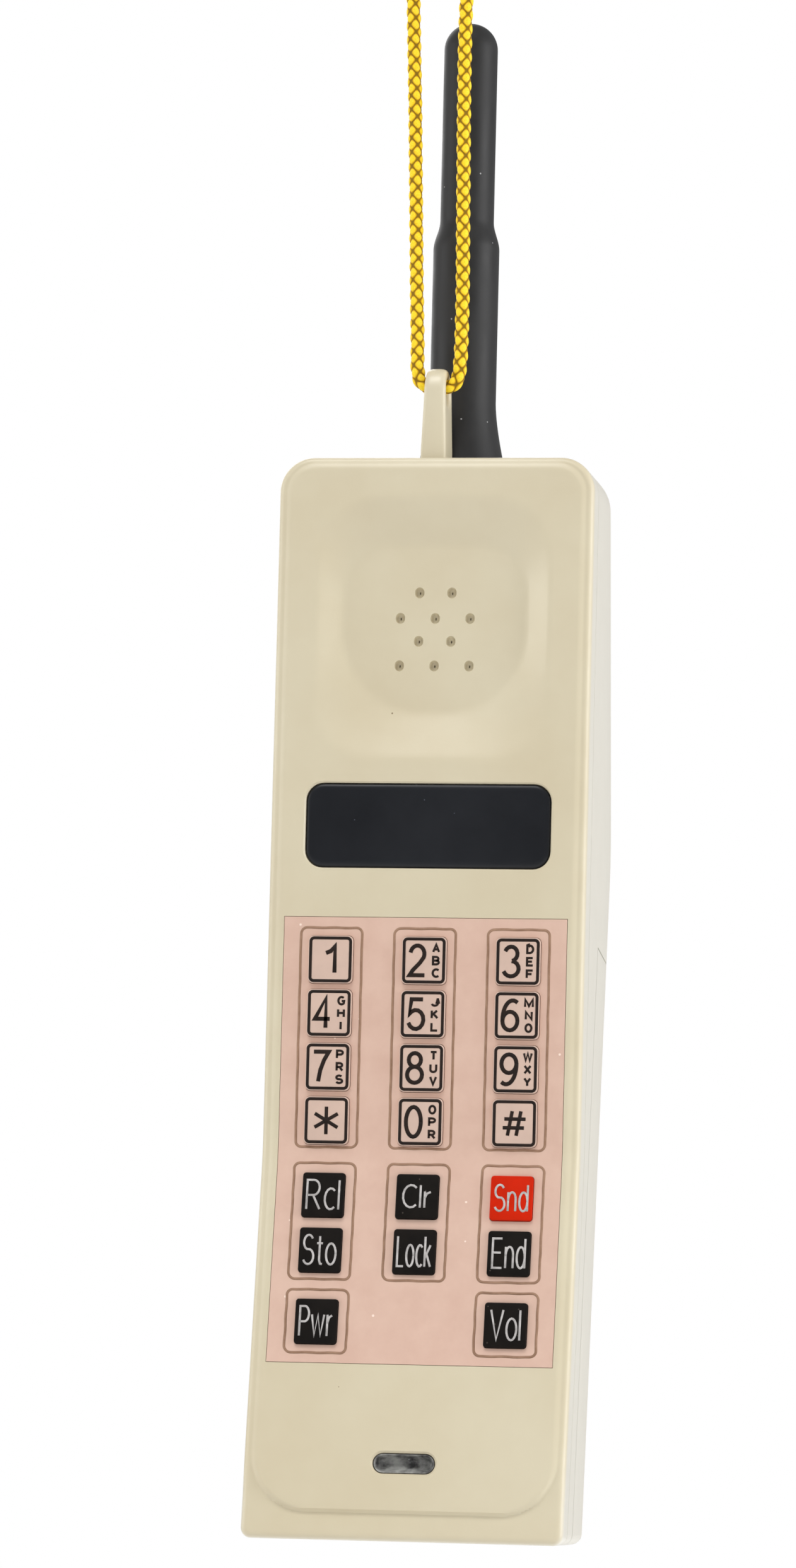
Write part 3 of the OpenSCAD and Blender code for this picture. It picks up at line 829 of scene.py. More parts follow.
def board_lacquer(name, shade):
    """Solder resist with rows of copper tracks under it."""
    found = bpy.data.materials.get(name)
    if found:
        return found
    material, tree, shader = new_material(name, 0.35)
    place = tree.nodes.new("ShaderNodeTexCoord")
    tracks = add(tree, "TexBrick", scale=260.0)
    tracks.inputs["Color1"].default_value = (*shade, 1)
    tracks.inputs["Color2"].default_value = (*tint(shade, 0.8), 1)
    tracks.inputs["Mortar"].default_value = (*tint(shade, 1.9), 1)
    tracks.inputs["Mortar Size"].default_value = 0.04
    turned = add(tree, "Mapping")
    turned.inputs["Rotation"].default_value = (math.pi / 2, 0, 0)
    tree.links.new(place.outputs["Object"], turned.inputs["Vector"])
    tree.links.new(turned.outputs["Vector"], tracks.inputs["Vector"])
    tree.links.new(tracks.outputs["Color"], shader.inputs["Base Color"])
    bump = add(tree, "Bump", strength=0.3, distance=0.00005)
    tree.links.new(tracks.outputs["Fac"], bump.inputs["Height"])
    tree.links.new(bump.outputs["Normal"], shader.inputs["Normal"])
    return material


def metal(name, first, second, roughness, scale=300.0):
    grain = (3000.0, 0.2, 0.05)
    return finish(name, first, second, roughness, scale=scale, grain=grain, metallic=1.0)


def braid_yarn():
    """Yarn whose colour falls from a painted highlight on the tops of the strands, through yellow,
    to a dark greenish yellow in the gaps, which is painted shade, with fine filaments along each
    strand. It reads the braid's own attributes."""
    found = bpy.data.materials.get("braid_yarn")
    if found:
        return found
    looks = settings("phone_finishes")
    material, tree, shader = new_material("braid_yarn", 0.5, specular=0.18)
    shader.inputs["Sheen Weight"].default_value = 0.04
    height = add(tree, "Attribute", attribute_name="strand")
    along = add(tree, "UVMap")
    filaments = add(tree, "TexNoise", detail=3.0, scale=1.0)
    stretch = add(tree, "Mapping")
    stretch.inputs["Scale"].default_value = (60, 9, 1)
    tree.links.new(along.outputs["UV"], stretch.inputs["Vector"])
    tree.links.new(stretch.outputs["Vector"], filaments.inputs["Vector"])
    bright = mix_colour(
        tree,
        ramp(tree, filaments.outputs["Fac"], 0.3, 0.7),
        tuple(looks.yellow),
        srgb(255, 233, 70),
    )
    # Lower on a strand a darker yellow, higher the brighter yellow: painted shade and painted
    # highlight by height.
    body = mix_colour(tree, ramp(tree, height.outputs["Fac"], 0.3, 0.6), srgb(226, 170, 6), bright)
    shade = mix_colour(
        tree, ramp(tree, height.outputs["Fac"], 0.14, 0.36), tuple(looks.gap_shade), body
    )
    tree.links.new(shade, shader.inputs["Base Color"])
    bump = add(tree, "Bump", strength=0.35, distance=0.00008)
    tree.links.new(filaments.outputs["Fac"], bump.inputs["Height"])
    tree.links.new(bump.outputs["Normal"], shader.inputs["Normal"])
    return material


# ---------------------------------------------------------------- operators


class PhoneOperator(bpy.types.Operator):
    """Shared by the operators of this file."""

    bl_options = {"REGISTER", "UNDO"}

    def execute(self, context):
        self.make()
        return {"FINISHED"}


class PHONE_OT_camera(PhoneOperator):
    """Set the camera in front of the phone, turned and rolled as it hangs"""

    bl_idname = "phone.camera"
    bl_label = "Camera"

    def make(self):
        look = settings("phone_stage")
        a, e, r = look.azimuth, look.elevation, look.roll
        back = Vector((math.sin(a) * math.cos(e), -math.cos(a) * math.cos(e), math.sin(e)))
        right = Vector((0, 0, 1)).cross(back).normalized()
        up = back.cross(right)
        rolled = right * math.cos(r) + up * math.sin(r)
        turned = up * math.cos(r) - right * math.sin(r)
        target = Vector(at((-5.9, 0.0, 142.3)))
        data = bpy.data.cameras.new("camera")
        data.sensor_fit = "VERTICAL"
        data.lens = data.sensor_height * look.distance / look.frame_height
        data.clip_end = 20
        camera = bpy.data.objects.new("camera", data)
        bpy.context.scene.collection.objects.link(camera)
        pose = Matrix((rolled, turned, back)).transposed().to_4x4()
        pose.translation = target + back * look.distance
        camera.matrix_world = pose
        bpy.context.scene.camera = camera


def braid_tube(name, path, out, per_mm=6.0, sides=48, twist=0.0):
    """A braided tube along a path that lies in one plane.

    Each point of the tube stands at radius R + h from the path. Two families of strands wind
    round it, one each way; u and v count strands across each family, so the cells between
    whole counts are the places where two strands cross, and the upper strand there is of one
    family and the other by turns. h is a hump over each cell: round across the upper strand
    and flatter along it."""
    braid = settings("phone_cord")
    steps = np.linalg.norm(np.diff(path, axis=0), axis=1)
    s = np.concatenate([[0], np.cumsum(steps)])
    n = int(s[-1] * per_mm)
    even = np.linspace(0, s[-1], n)
    line = np.stack([np.interp(even, s, path[:, k]) for k in range(3)], 1)
    ahead = np.gradient(line, axis=0)
    ahead /= np.linalg.norm(ahead, axis=1)[:, None]
    out = np.broadcast_to(np.asarray(out, float), line.shape)
    side = np.cross(ahead, out)
    side /= np.linalg.norm(side, axis=1)[:, None]
    out = np.cross(side, ahead)
    turn = full_turn(sides)
    count = braid.strands * (turn[None, :] / (2 * math.pi) + twist)
    shift = even[:, None] / braid.lozenge
    u, v = count - shift, count + shift
    su, sv = np.sin(math.pi * u), np.sin(math.pi * v)
    over, under = np.where(su * sv > 0, (np.abs(su), np.abs(sv)), (np.abs(sv), np.abs(su)))
    height = over**0.8 * under**0.35
    radius = braid.diameter / 2 - braid.relief * (1 - height)
    points = (
        line[:, None, :]
        + (radius * np.cos(turn))[..., None] * out[:, None, :]
        + (radius * np.sin(turn))[..., None] * side[:, None, :]
    ).reshape(-1, 3)
    ends = np.array([line[0], line[-1]])
    around = np.arange(sides)
    after = (around + 1) % sides
    first = np.stack([np.full(sides, n * sides), around, after], 1)
    last = np.stack(
        [np.full(sides, n * sides + 1), (n - 1) * sides + after, (n - 1) * sides + around], 1
    )
    walls = grid_faces(n, sides, around=True)[:, ::-1]
    obj = new_object(name, np.concatenate([points, ends]), walls, first, last)
    mark = obj.data.attributes.new("strand", "FLOAT", "POINT")
    # How far a point stands on top of the braid; the yarn paints it dark in the gaps and light on
    # top, as painted shade and painted highlight.
    show = over * under**0.7
    mark.data.foreach_set("value", np.concatenate([show.ravel(), [0.3, 0.3]]).astype(np.float32))
    layer = obj.data.uv_layers.new(name="along")
    index = np.zeros(len(obj.data.loops), np.int32)
    obj.data.loops.foreach_get("vertex_index", index)
    index = np.minimum(index, n * sides - 1)
    uv = np.stack([(index % sides) / sides, even[index // sides] / braid.diameter], 1)
    layer.data.foreach_set("uv", uv.astype(np.float32).ravel())
    face_outwards(obj)
    obj.data.polygons.foreach_set("use_smooth", np.ones(len(obj.data.polygons), bool))
    return obj, line


def curve_through(points, per_span=12):
    """A smooth curve through points: a Catmull-Rom spline, its ends taken straight on."""
    p = np.concatenate([[2 * points[0] - points[1]], points, [2 * points[-1] - points[-2]]])
    t = np.linspace(0, 1, per_span, endpoint=False)[:, None]
    spans = []
    for a, b, c, d in zip(p[:-3], p[1:-2], p[2:-1], p[3:]):
        spans.append(
            0.5
            * (
                2 * b
                + (c - a) * t
                + (2 * a - 5 * b + 4 * c - d) * t**2
                + (3 * b - a - 3 * c + d) * t**3
            )
        )
    return np.concatenate([*spans, [points[-1]]])


class PHONE_OT_cord(PhoneOperator):
    """Braid the cord through the eye and round its loop, and tie its knot"""

    bl_idname = "phone.cord"
    bl_label = "Hanging cord"

    def make(self):
        braid = settings("phone_cord")
        route = curve_through(CORD_ROUTE)
        cord, line = braid_tube("cord", route, (0, 1, 0), twist=1 / 12)
        knot = self.knot()
        piece(cord, braid_yarn(), "handset", ["hanging_cord"])
        piece(knot, braid_yarn(), "handset", ["cord_knot"])

    def knot(self):
        """Two tails that wrap the top of the loop: a coil of two turns and a half about the
        cord, whose ends rise out of it."""
        top = CORD_ROUTE[len(CORD_ROUTE) // 2]
        turn = np.linspace(-math.pi / 2, 4.5 * math.pi, 60)
        wrap = 2.55
        coil = np.stack(
            [
                top[0] + np.interp(turn, [turn[0], turn[-1]], [-3.2, 3.2]),
                top[1] + wrap * np.cos(turn),
                top[2] + wrap * np.sin(turn),
            ],
            1,
        )
        low = coil[0] + np.array([[-0.3, 0.4, 0.0]])
        tail = coil[-1] + np.array([[0.3, -0.3, 2.4], [0.9, -0.9, 5.4], [2.2, -1.2, 8.0]])
        path = curve_through(np.concatenate([low, coil, tail]), 4)
        first, _ = braid_tube("knot_wrap", path, (0.98, 0.15, 0.1), per_mm=3.0, sides=24)
        rise = top + np.array(
            [[-1.6, 1.2, 1.5], [-2.0, 1.4, 4.5], [-2.4, 1.2, 7.5], [-3.4, 0.6, 10.5]]
        )
        second, _ = braid_tube("knot_tail", curve_through(rise, 8), (0, 1, 0), per_mm=3.0, sides=24)
        return join_braids("knot", first, second)


def join_braids(name, first, second):
    """Join two braided tubes and keep their attributes."""
    bpy.ops.object.select_all(action="DESELECT")
    for obj in (first, second):
        obj.select_set(True)
    bpy.context.view_layer.objects.active = first
    bpy.ops.object.join()
    first.name = name
    return first


def front_relief(x, z):
    """Depth of the front surface behind the face: a band round it, the slope up to the
    raised face, a fine groove at its foot, the round edge of the case and the ear dish."""
    sizes = settings("phone_case")
    edge = inside_box(x, z, 0, CASE_H, CASE_W, FOOT_CORNER, TOP_CORNER)
    raised = inside_box(x, z, 5.5, CASE_H - 1.7, 56.6, 10.0, 5.2)
    low = ease((16 - z) / 10)
    depth = sizes.band * (1 + 1.3 * low) * (1 - ease(raised / (sizes.step * (1 - 0.4 * low)) + 0.5))
    depth = depth + 0.07 * np.exp(-(((raised + 0.5 * sizes.step) / 0.35) ** 2))
    depth = depth + quarter(np.maximum(edge, 0), sizes.edge)
    rim = inside_box(x, z, EAR_Z - 25.4, EAR_Z + 25.2, 44.8, 10.5, 12.0)
    floor = -inside_box(x, z, EAR_Z - 15.9, EAR_Z + 15.4, 35.0, 15.5, 9.0)
    share = np.where(rim > 0, rim / np.maximum(rim + np.maximum(floor, 0), 1e-6), 0)
    blend = 0.14  # share of the dish's wall that rounds its rim and its foot
    bowl = sizes.dish * (
        soft_ramp(share, blend) - soft_ramp(share - 1, blend) - soft_ramp(0, blend)
    )
    panel = (np.abs(x) < PANEL_W / 2 + 0.1) & (z > PANEL_LOW - 0.1) & (z < PANEL_HIGH + 0.1)
    return np.where(panel, 0.5, depth + bowl)


def spaced(*runs):
    """Even spacings run end to end: (start, end, step), ..."""
    parts = [np.arange(a, b, step) for a, b, step in runs]
    return np.unique(np.round(np.concatenate([*parts, [runs[-1][1]]]), 4))


def front_shell():
    """The front cover as a closed shell: an outer grid that carries the relief, an inner grid
    a wall's thickness behind it, and a rim that joins them at the seam.

    Columns lie at fixed shares of the half width, close together at the edge, so that they
    follow the case's round corners; rows lie at heights, close together where the relief
    changes. The walls run back from the grid's border to the seam."""
    sizes = settings("phone_case")
    r = sizes.edge
    bevel = r * (1 - np.cos(np.linspace(0, math.pi / 2, 8)))
    half = CASE_W / 2
    inner = spaced((r + 0.2, 4.4, 0.2), (4.4, half, 0.7))
    panel_edge = half - PANEL_W / 2 - 0.1
    inset = np.unique(np.concatenate([bevel, inner, [panel_edge, panel_edge + 0.02, half]]))
    inset = inset[inset <= half]
    share = np.concatenate([-(half - inset), (half - inset[:-1])[::-1]]) / half
    panel_rows = [PANEL_LOW - 0.1, PANEL_LOW - 0.08, PANEL_HIGH + 0.08, PANEL_HIGH + 0.1]
    rows = np.unique(np.concatenate([
        bevel, spaced((1.6, 17, 0.35)), spaced((17, 66, 3.5)), spaced((66, 78, 0.8)),
        spaced((78, 144, 3.5)), spaced((144, 199, 0.62)), spaced((199, CASE_H - r, 0.3)),
        panel_rows, CASE_H - bevel,
    ]))  # fmt: skip
    z, t = np.meshgrid(rows, share, indexing="ij")
    x = t * half_width(z)
    relief = front_relief(x, z)
    outer = np.stack([x, face_line(z) + relief, z], -1)
    nearest = settings("phone_case").band + r
    zi = np.interp(z, [0, CASE_H], [WALL, CASE_H - WALL])
    xi = t * half_width(zi, WALL)
    deep = np.minimum(front_relief(xi, zi), 3.2) + 1.5
    inner_face = np.stack([xi, face_line(zi) + deep, zi], -1)
    n, k = z.shape
    flat = grid_faces(n, k)
    loop = np.concatenate([
        np.arange(k), np.arange(1, n) * k + k - 1, (n - 1) * k + np.arange(k - 2, -1, -1),
        np.arange(n - 2, 0, -1) * k,
    ])  # fmt: skip
    first, last = outer.reshape(-1, 3), inner_face.reshape(-1, 3)
    rim_rings = []
    for source, depth, pull in (
        (first, nearest + 1.5, 0), (first, SEAM_D - 0.25, 0), (first, SEAM_D - 0.05, 0.2),
        (last, SEAM_D - 0.05, 0),
    ):  # fmt: skip
        ring = source[loop].copy()
        ring[:, 1] = face_line(ring[:, 2]) + depth
        ring[:, 0] -= pull * np.sign(ring[:, 0]) * (np.abs(ring[:, 0]) > 1)
        rim_rings.append(ring)
    m, total = len(loop), n * k
    rim_start = 2 * total
    rings = [loop, *[rim_start + i * m + np.arange(m) for i in range(4)], total + loop]
    sides = []
    for a, b in zip(rings[:-1], rings[1:]):
        sides.append(np.stack([np.roll(a, -1), a, b, np.roll(b, -1)], 1))
    points = np.concatenate([first, last, *rim_rings])
    shell = new_object("front_cover_shell", points, flat, flat[:, ::-1] + total, *sides)
    face_outwards(shell)
    return shell


def key_places():
    """(name, x, z, width, height, corner) of every key: x, and the heights of the number keys, read
    from the frame; the rest given.
    """
    places = []
    for name in NUMBER_KEYS + FUNCTION_KEYS:
        node = "key_" + name
        x, _, _ = middle(node)
        number = name in NUMBER_KEYS
        w, h, r = (8.5, 9.0, 0.95) if number else (8.0, 8.5, 0.6)
        if number:
            z = middle(node)[2]
        else:
            z = {"rcl": 64.2, "sto": 53.8, "pwr": 40.4, "clr": 64.2, "snd": 64.2, "lock": 53.8,
                 "end": 53.8, "vol": 40.4}[name]  # fmt: skip
        places.append((name, x, z, w, h, r))
    return places


def key_cutters(gap, d0, d1):
    """One object of prisms that cut every key's opening, a gap wider than the key."""
    return join(
        "key_openings",
        [
            key_stack("opening", w + 2 * gap, h + 2 * gap, r + gap, ((0, d0), (0, d1)), x, z)
            for _, x, z, w, h, r in key_places()
        ],
    )


EAR_HOLES = [(x, EAR_Z + up) for up, row in (
    (6.8, (-3.1, 3.1)), (1.9, (-6.7, 0, 6.7)), (-2.5, (-3.1, 3.1)), (-7.2, (-6.7, 0, 6.7)),
) for x in row]  # fmt: skip


def mark_depth(obj):
    """Mark each point with how far it lies behind the face: 0 on it, 1 from 2.1 mm back, where the
    walls take the paler side colour, which is painted light. The ear dish counts as the face."""
    points = (vertices(obj) - ORIGIN) / MM
    depth = points[:, 1] - face_line(points[:, 2])
    inside = inside_box(points[:, 0], points[:, 2], 0, CASE_H, CASE_W, FOOT_CORNER, TOP_CORNER)
    mask = ease((depth - 0.7) / 1.4) * (inside < 1.6)
    mark = obj.data.attributes.new("wall", "FLOAT", "POINT")
    mark.data.foreach_set("value", mask.astype(np.float32))


def charging_holes():
    """Cutters for the two holes in the base that the charging contacts show through."""
    profile = [[0, -1], [2.05, -1], [2.05, WALL + 1], [0, WALL + 1]]
    return join("contact_holes", [lathe("contact_hole", x, -6.5, profile, 32) for x in (-9, 9)])


class PHONE_OT_front_cover(PhoneOperator):
    """Form the front cover with its dish and raised face, and cut its openings"""

    bl_idname = "phone.front_cover"
    bl_label = "Front cover"

    def make(self):
        cover = front_shell()
        sink = ((0, 1), (0, 3.05), (0.12, 3.45), (0.34, 3.7), (0.8, 3.8), (0.8, 8))
        tools = [key_stack("ear", 1.8, 2.1, 0.9, sink, x, z) for x, z in EAR_HOLES]
        tools.append(
            key_stack(
                "window", LENS_W + 0.2, LENS_H + 0.2, 3.4,
                ((-1.3, -1), (-0.3, 0), (0, 0.3), (0, 1.42), (2, 1.42), (2, 4)), 0, LENS_Z,
            )
        )  # fmt: skip
        tools.append(
            key_stack("slot", 11.8, 3.9, 1.95, ((-1.3, -1), (-0.35, 0), (0, 0.4), (0, 4)), 0, MIC_Z)
        )
        carve(cover, join("openings", tools))
        carve(cover, charging_holes())
        carve(cover, key_cutters(settings("phone_keys").gap, -2, 3.2))
        cover.name = "front_cover_shell"
        mark_depth(cover)
        piece(smooth(cover, 30), beige_paint(), "handset", ["front_cover"])


def rear_solid(name, g=0.0, front=SEAM_D + 0.05, low=0.0):
    """The case behind the seam as a closed solid, g inside its surface.

    Each row is the cross-section at a height: straight sides, arcs at the back's two corners
    and the back between them."""
    sizes = settings("phone_case")
    r = max(sizes.back_edge - g, 1.0)
    top = CASE_H - g
    rows = np.unique(np.concatenate([
        g + low + 1.5 * (1 - np.cos(np.linspace(0, math.pi / 2, 6))), spaced((g + 2, 66, 4)),
        spaced((66, 78, 1)), spaced((78, 124, 4)), spaced((124, 140, 1)), spaced((140, 192, 4)),
        spaced((192, 198, 1)),
        top - (TOP_CORNER - g) * (1 - np.sin(np.linspace(0, math.pi / 2, 12))),
    ]))  # fmt: skip
    turn = np.linspace(0, math.pi / 2, 9)
    rings = []
    for z in rows:
        w, back = float(half_width(z, g)), float(back_line(z, g))
        start = float(face_line(z)) + front
        arc = np.stack([w - r + r * np.cos(turn), back - r + r * np.sin(turn)], 1)
        right = np.concatenate([[[w, start], [w, (start + back - r) / 2]], arc, [[w / 3, back]]])
        left = right[::-1] * [-1, 1]
        rings.append(np.column_stack([np.concatenate([right, left]), np.full(2 * len(right), z)]))
    return stack(name, rings)


class PHONE_OT_rear_cover(PhoneOperator):
    """Form the rear cover: the hollow back of the case with the bay of the battery pack"""

    bl_idname = "phone.rear_cover"
    bl_label = "Rear cover"

    def sleeve(self, x, z):
        """The tube that a case screw's head lies in: an open ring along y."""
        back = float(back_line(z)) - 1.0 if z > 150 else self.bay_line(z) - 0.5
        front = float(face_line(z)) + SEAM_D + 3.0
        rings = [circle_at(x, z, r, y) for r, y in (
            (3.2, front), (3.2, back), (2.55, back), (2.55, front), (3.2, front))]  # fmt: skip
        points = np.concatenate(rings)
        tube = new_object("sleeve", points, grid_faces(5, 32, around=True))
        face_outwards(tube)
        return tube

    @staticmethod
    def bay_line(z):
        """Depth of the bay's floor at a height."""
        return (
            WAIST_Y - (WAIST_Z - z) * math.tan(LOW_BACK) - (PACK_T + BAY_GAP) / math.cos(LOW_BACK)
        )

    def make(self):
        cover = rear_solid("rear_cover_shell")
        carve(cover, pack_box(BAY_GAP))
        hollow = rear_solid("hollow", g=WALL, front=SEAM_D - 3)
        carve(hollow, pack_box(BAY_GAP + WALL))
        carve(cover, hollow)
        turret = lathe(
            "turret", ANT_X, ANT_Y,
            [
                [0, 191],
                [8.6, 191],
                [8.6, CASE_H - 0.5],
                [8.45, CASE_H - 0.15],
                [8.1, CASE_H],
                [0, CASE_H],
            ],
        )  # fmt: skip
        carve(cover, turret, "UNION")
        tools = [
            lathe("bore", ANT_X, ANT_Y, [[0, 180], [5.5, 180], [5.5, 215], [0, 215]], 48),
            back_box("latch_slot", (-4.4, -WALL - 1, -18.6), (4.4, 2, -7.4)),
        ]
        for x, z in SCREWS:
            end = 60 if z > 150 else self.bay_line(z) + 1.0
            tools.append(bar("hole", x, z, 2.6, float(face_line(z)) + SEAM_D + 0.5, end))
        carve(cover, join("holes", tools))
        carve(cover, charging_holes())
        rails = [
            back_box("rail", (x - 2.1, -PACK_T + 2, -100), (x + 2.1, -PACK_T + 3.3, -30))
            for x in (-25.4, 25.4)
        ]
        webs = [
            back_box("web", (x - 0.8, -PACK_T - BAY_GAP - 0.1, -100), (x + 0.8, -PACK_T + 2, -30))
            for x in (-25.4, 25.4)
        ]
        sleeves = [self.sleeve(x, z) for x, z in SCREWS]
        cover = join("rear_cover_shell", [cover, *rails, *webs, *sleeves])
        piece(smooth(cover, 30), pale_lit_paint(), "handset", ["rear_cover"])


def pack_box(gap):
    """The space of the battery pack, a gap larger on its front and top."""
    return back_box("pack_space", (-60, -PACK_T - gap, -200), (60, 40, -PACK_TOP + gap))


class PHONE_OT_battery(PhoneOperator):
    """Form the battery pack's case, with the grooves that its rails run in"""

    bl_idname = "phone.battery"
    bl_label = "Battery pack"

    def make(self):
        case = rear_solid("battery_shell")
        carve(case, pack_box(0), "INTERSECT")
        cuts = [
            back_box("cells", (-22, -PACK_T - 1, -132), (22, -1.3, -24)),
            back_box("notch", (-6.6, -4.8, -25), (6.6, -1.8, -20)),
        ]
        for x in (-25.4, 25.4):
            cuts.append(
                back_box("groove", (x - 2.5, -PACK_T + 1.6, -100.4), (x + 2.5, -PACK_T + 3.7, 0))
            )
            cuts.append(
                back_box("slit", (x - 1.2, -PACK_T - 1, -100.4), (x + 1.2, -PACK_T + 1.8, 0))
            )
        for cut in cuts:
            carve(case, cut)
        piece(smooth(case, 30), pale_lit_paint(), "battery_pack", ["battery_case"])


class PHONE_OT_lens(PhoneOperator):
    """Form the dark lens of the display"""

    bl_idname = "phone.lens"
    bl_label = "Display lens"

    def make(self):
        steps = ((2.1, 2.0), (2.1, 1.4), (0, 1.4), (0, 0.55),
                 (0.08, 0.4), (0.3, 0.24), (0.75, 0.14),
                 (1.3, 0.1), (3.2, 0.1))  # fmt: skip
        lens = key_stack("display_lens", LENS_W - 0.1, LENS_H - 0.1, 3.3, steps, 0, LENS_Z)
        piece(smooth(lens, 40), lens_gloss(), "handset", ["display_window"])


def ring_strip(name, w, h, r, width, d0, d1, x, z, wave=0.0):
    """A flat ring: a rounded outline with a smaller one cut out of it, lying on the face
    along its bend. Its line may wander by a small sine wave."""
    outer = round_outline(w, h, r, sides=12)
    hole = round_outline(w - 2 * width, h - 2 * width, r - width, sides=12)
    rings = []
    for outline, d in ((outer, d1), (outer, d0), (hole, d0), (hole, d1)):
        outline = outline + wave * np.sin(outline[:, ::-1] * 1.3 + x + z)
        height = z + outline[:, 1]
        rings.append(np.stack([x + outline[:, 0], face_line(height) + d, height], 1))
    k = len(outer)
    i = np.arange(k)
    faces = [
        np.stack([a * k + i, a * k + (i + 1) % k, b * k + (i + 1) % k, b * k + i], 1)
        for a, b in ((0, 1), (1, 2), (2, 3), (3, 0))
    ]
    strip = new_object(name, np.concatenate(rings), *faces)
    face_outwards(strip)
    return strip


class PHONE_OT_mic_boot(PhoneOperator):
    """Form the rubber boot over the microphone, dished and deepest near its top"""

    bl_idname = "phone.mic_boot"
    bl_label = "Microphone boot"

    def make(self):
        """Rings from the back of the boot round its edge and in to the bottom of the dish:
        each is a rounded bar, smaller and moved up towards the deepest place."""
        steps = [(0.1, 3.9), (0.1, 0.5), (0.16, 0.4), (0.3, 0.46), (0.5, 0.8), (0.8, 1.5),
                 (1.2, 2.1), (1.6, 2.4)]  # fmt: skip
        rings = []
        for inset, depth in steps:
            outline = round_outline(11.7 - 2 * inset, 3.8 - 2 * inset, 1.9 - inset, sides=6)
            lift = 0.2 * max(depth - 0.5, 0) if depth < 3 else 0
            lumps = 0.05 * np.sin(outline[:, 0] * 4.1 + depth * 9) * (inset > 0.2)
            rings.append(on_face(outline + [0, lift], depth, 0, MIC_Z))
            rings[-1][:, 1] += lumps
        boot = stack("mic_boot", rings)
        piece(smooth(boot, 50), boot_rubber(), "handset", ["microphone_boot"])


class PHONE_OT_keypad_panel(PhoneOperator):
    """Lay the pink film over the face, bent with it, and print the lines round the keys"""

    bl_idname = "phone.keypad_panel"
    bl_label = "Keypad panel"

    def make(self):
        rows = np.unique(np.concatenate([
            np.linspace(PANEL_LOW, 66, 8), spaced((66, 78, 0.8)), np.linspace(78, PANEL_HIGH, 8),
        ]))  # fmt: skip
        x = PANEL_W / 2
        rings = [
            np.array([[-x, face_line(z) + 0.48, z], [x, face_line(z) + 0.48, z],
                      [x, face_line(z) - 0.02, z], [-x, face_line(z) - 0.02, z]], float)
            for z in rows
        ]  # fmt: skip
        film = stack("keypad_film", rings)
        carve(film, key_cutters(settings("phone_keys").gap, -2, 3.2))
        piece(smooth(film, 30), pink_film(), "handset", ["keypad_panel"])
        keys = settings("phone_keys")
        groups = [(73.1, 115.1, (-1, 0, 1)), (48.2, 70.6, (-1, 0, 1)), (34.4, 46.7, (-1, 1))]
        lines = [
            ring_strip("line", 12.2, high - low, 1.4, keys.line, -0.045, -0.005,
                       col * 17.9, (low + high) / 2, wave=0.04)
            for low, high, cols in groups
            for col in cols
        ]  # fmt: skip
        print_piece = join("keypad_lines", lines)
        piece(print_piece, brown_ink(), "handset")


def arc(cx, cy, rx, ry, start, end, n=12):
    """Points on an ellipse, between two angles in degrees."""
    a = np.radians(np.linspace(start, end, n))
    return [(cx + rx * c, cy + ry * s) for c, s in zip(np.cos(a), np.sin(a))]


BOWL = arc(0.31, 0.74, 0.24, 0.26, 90, -90)
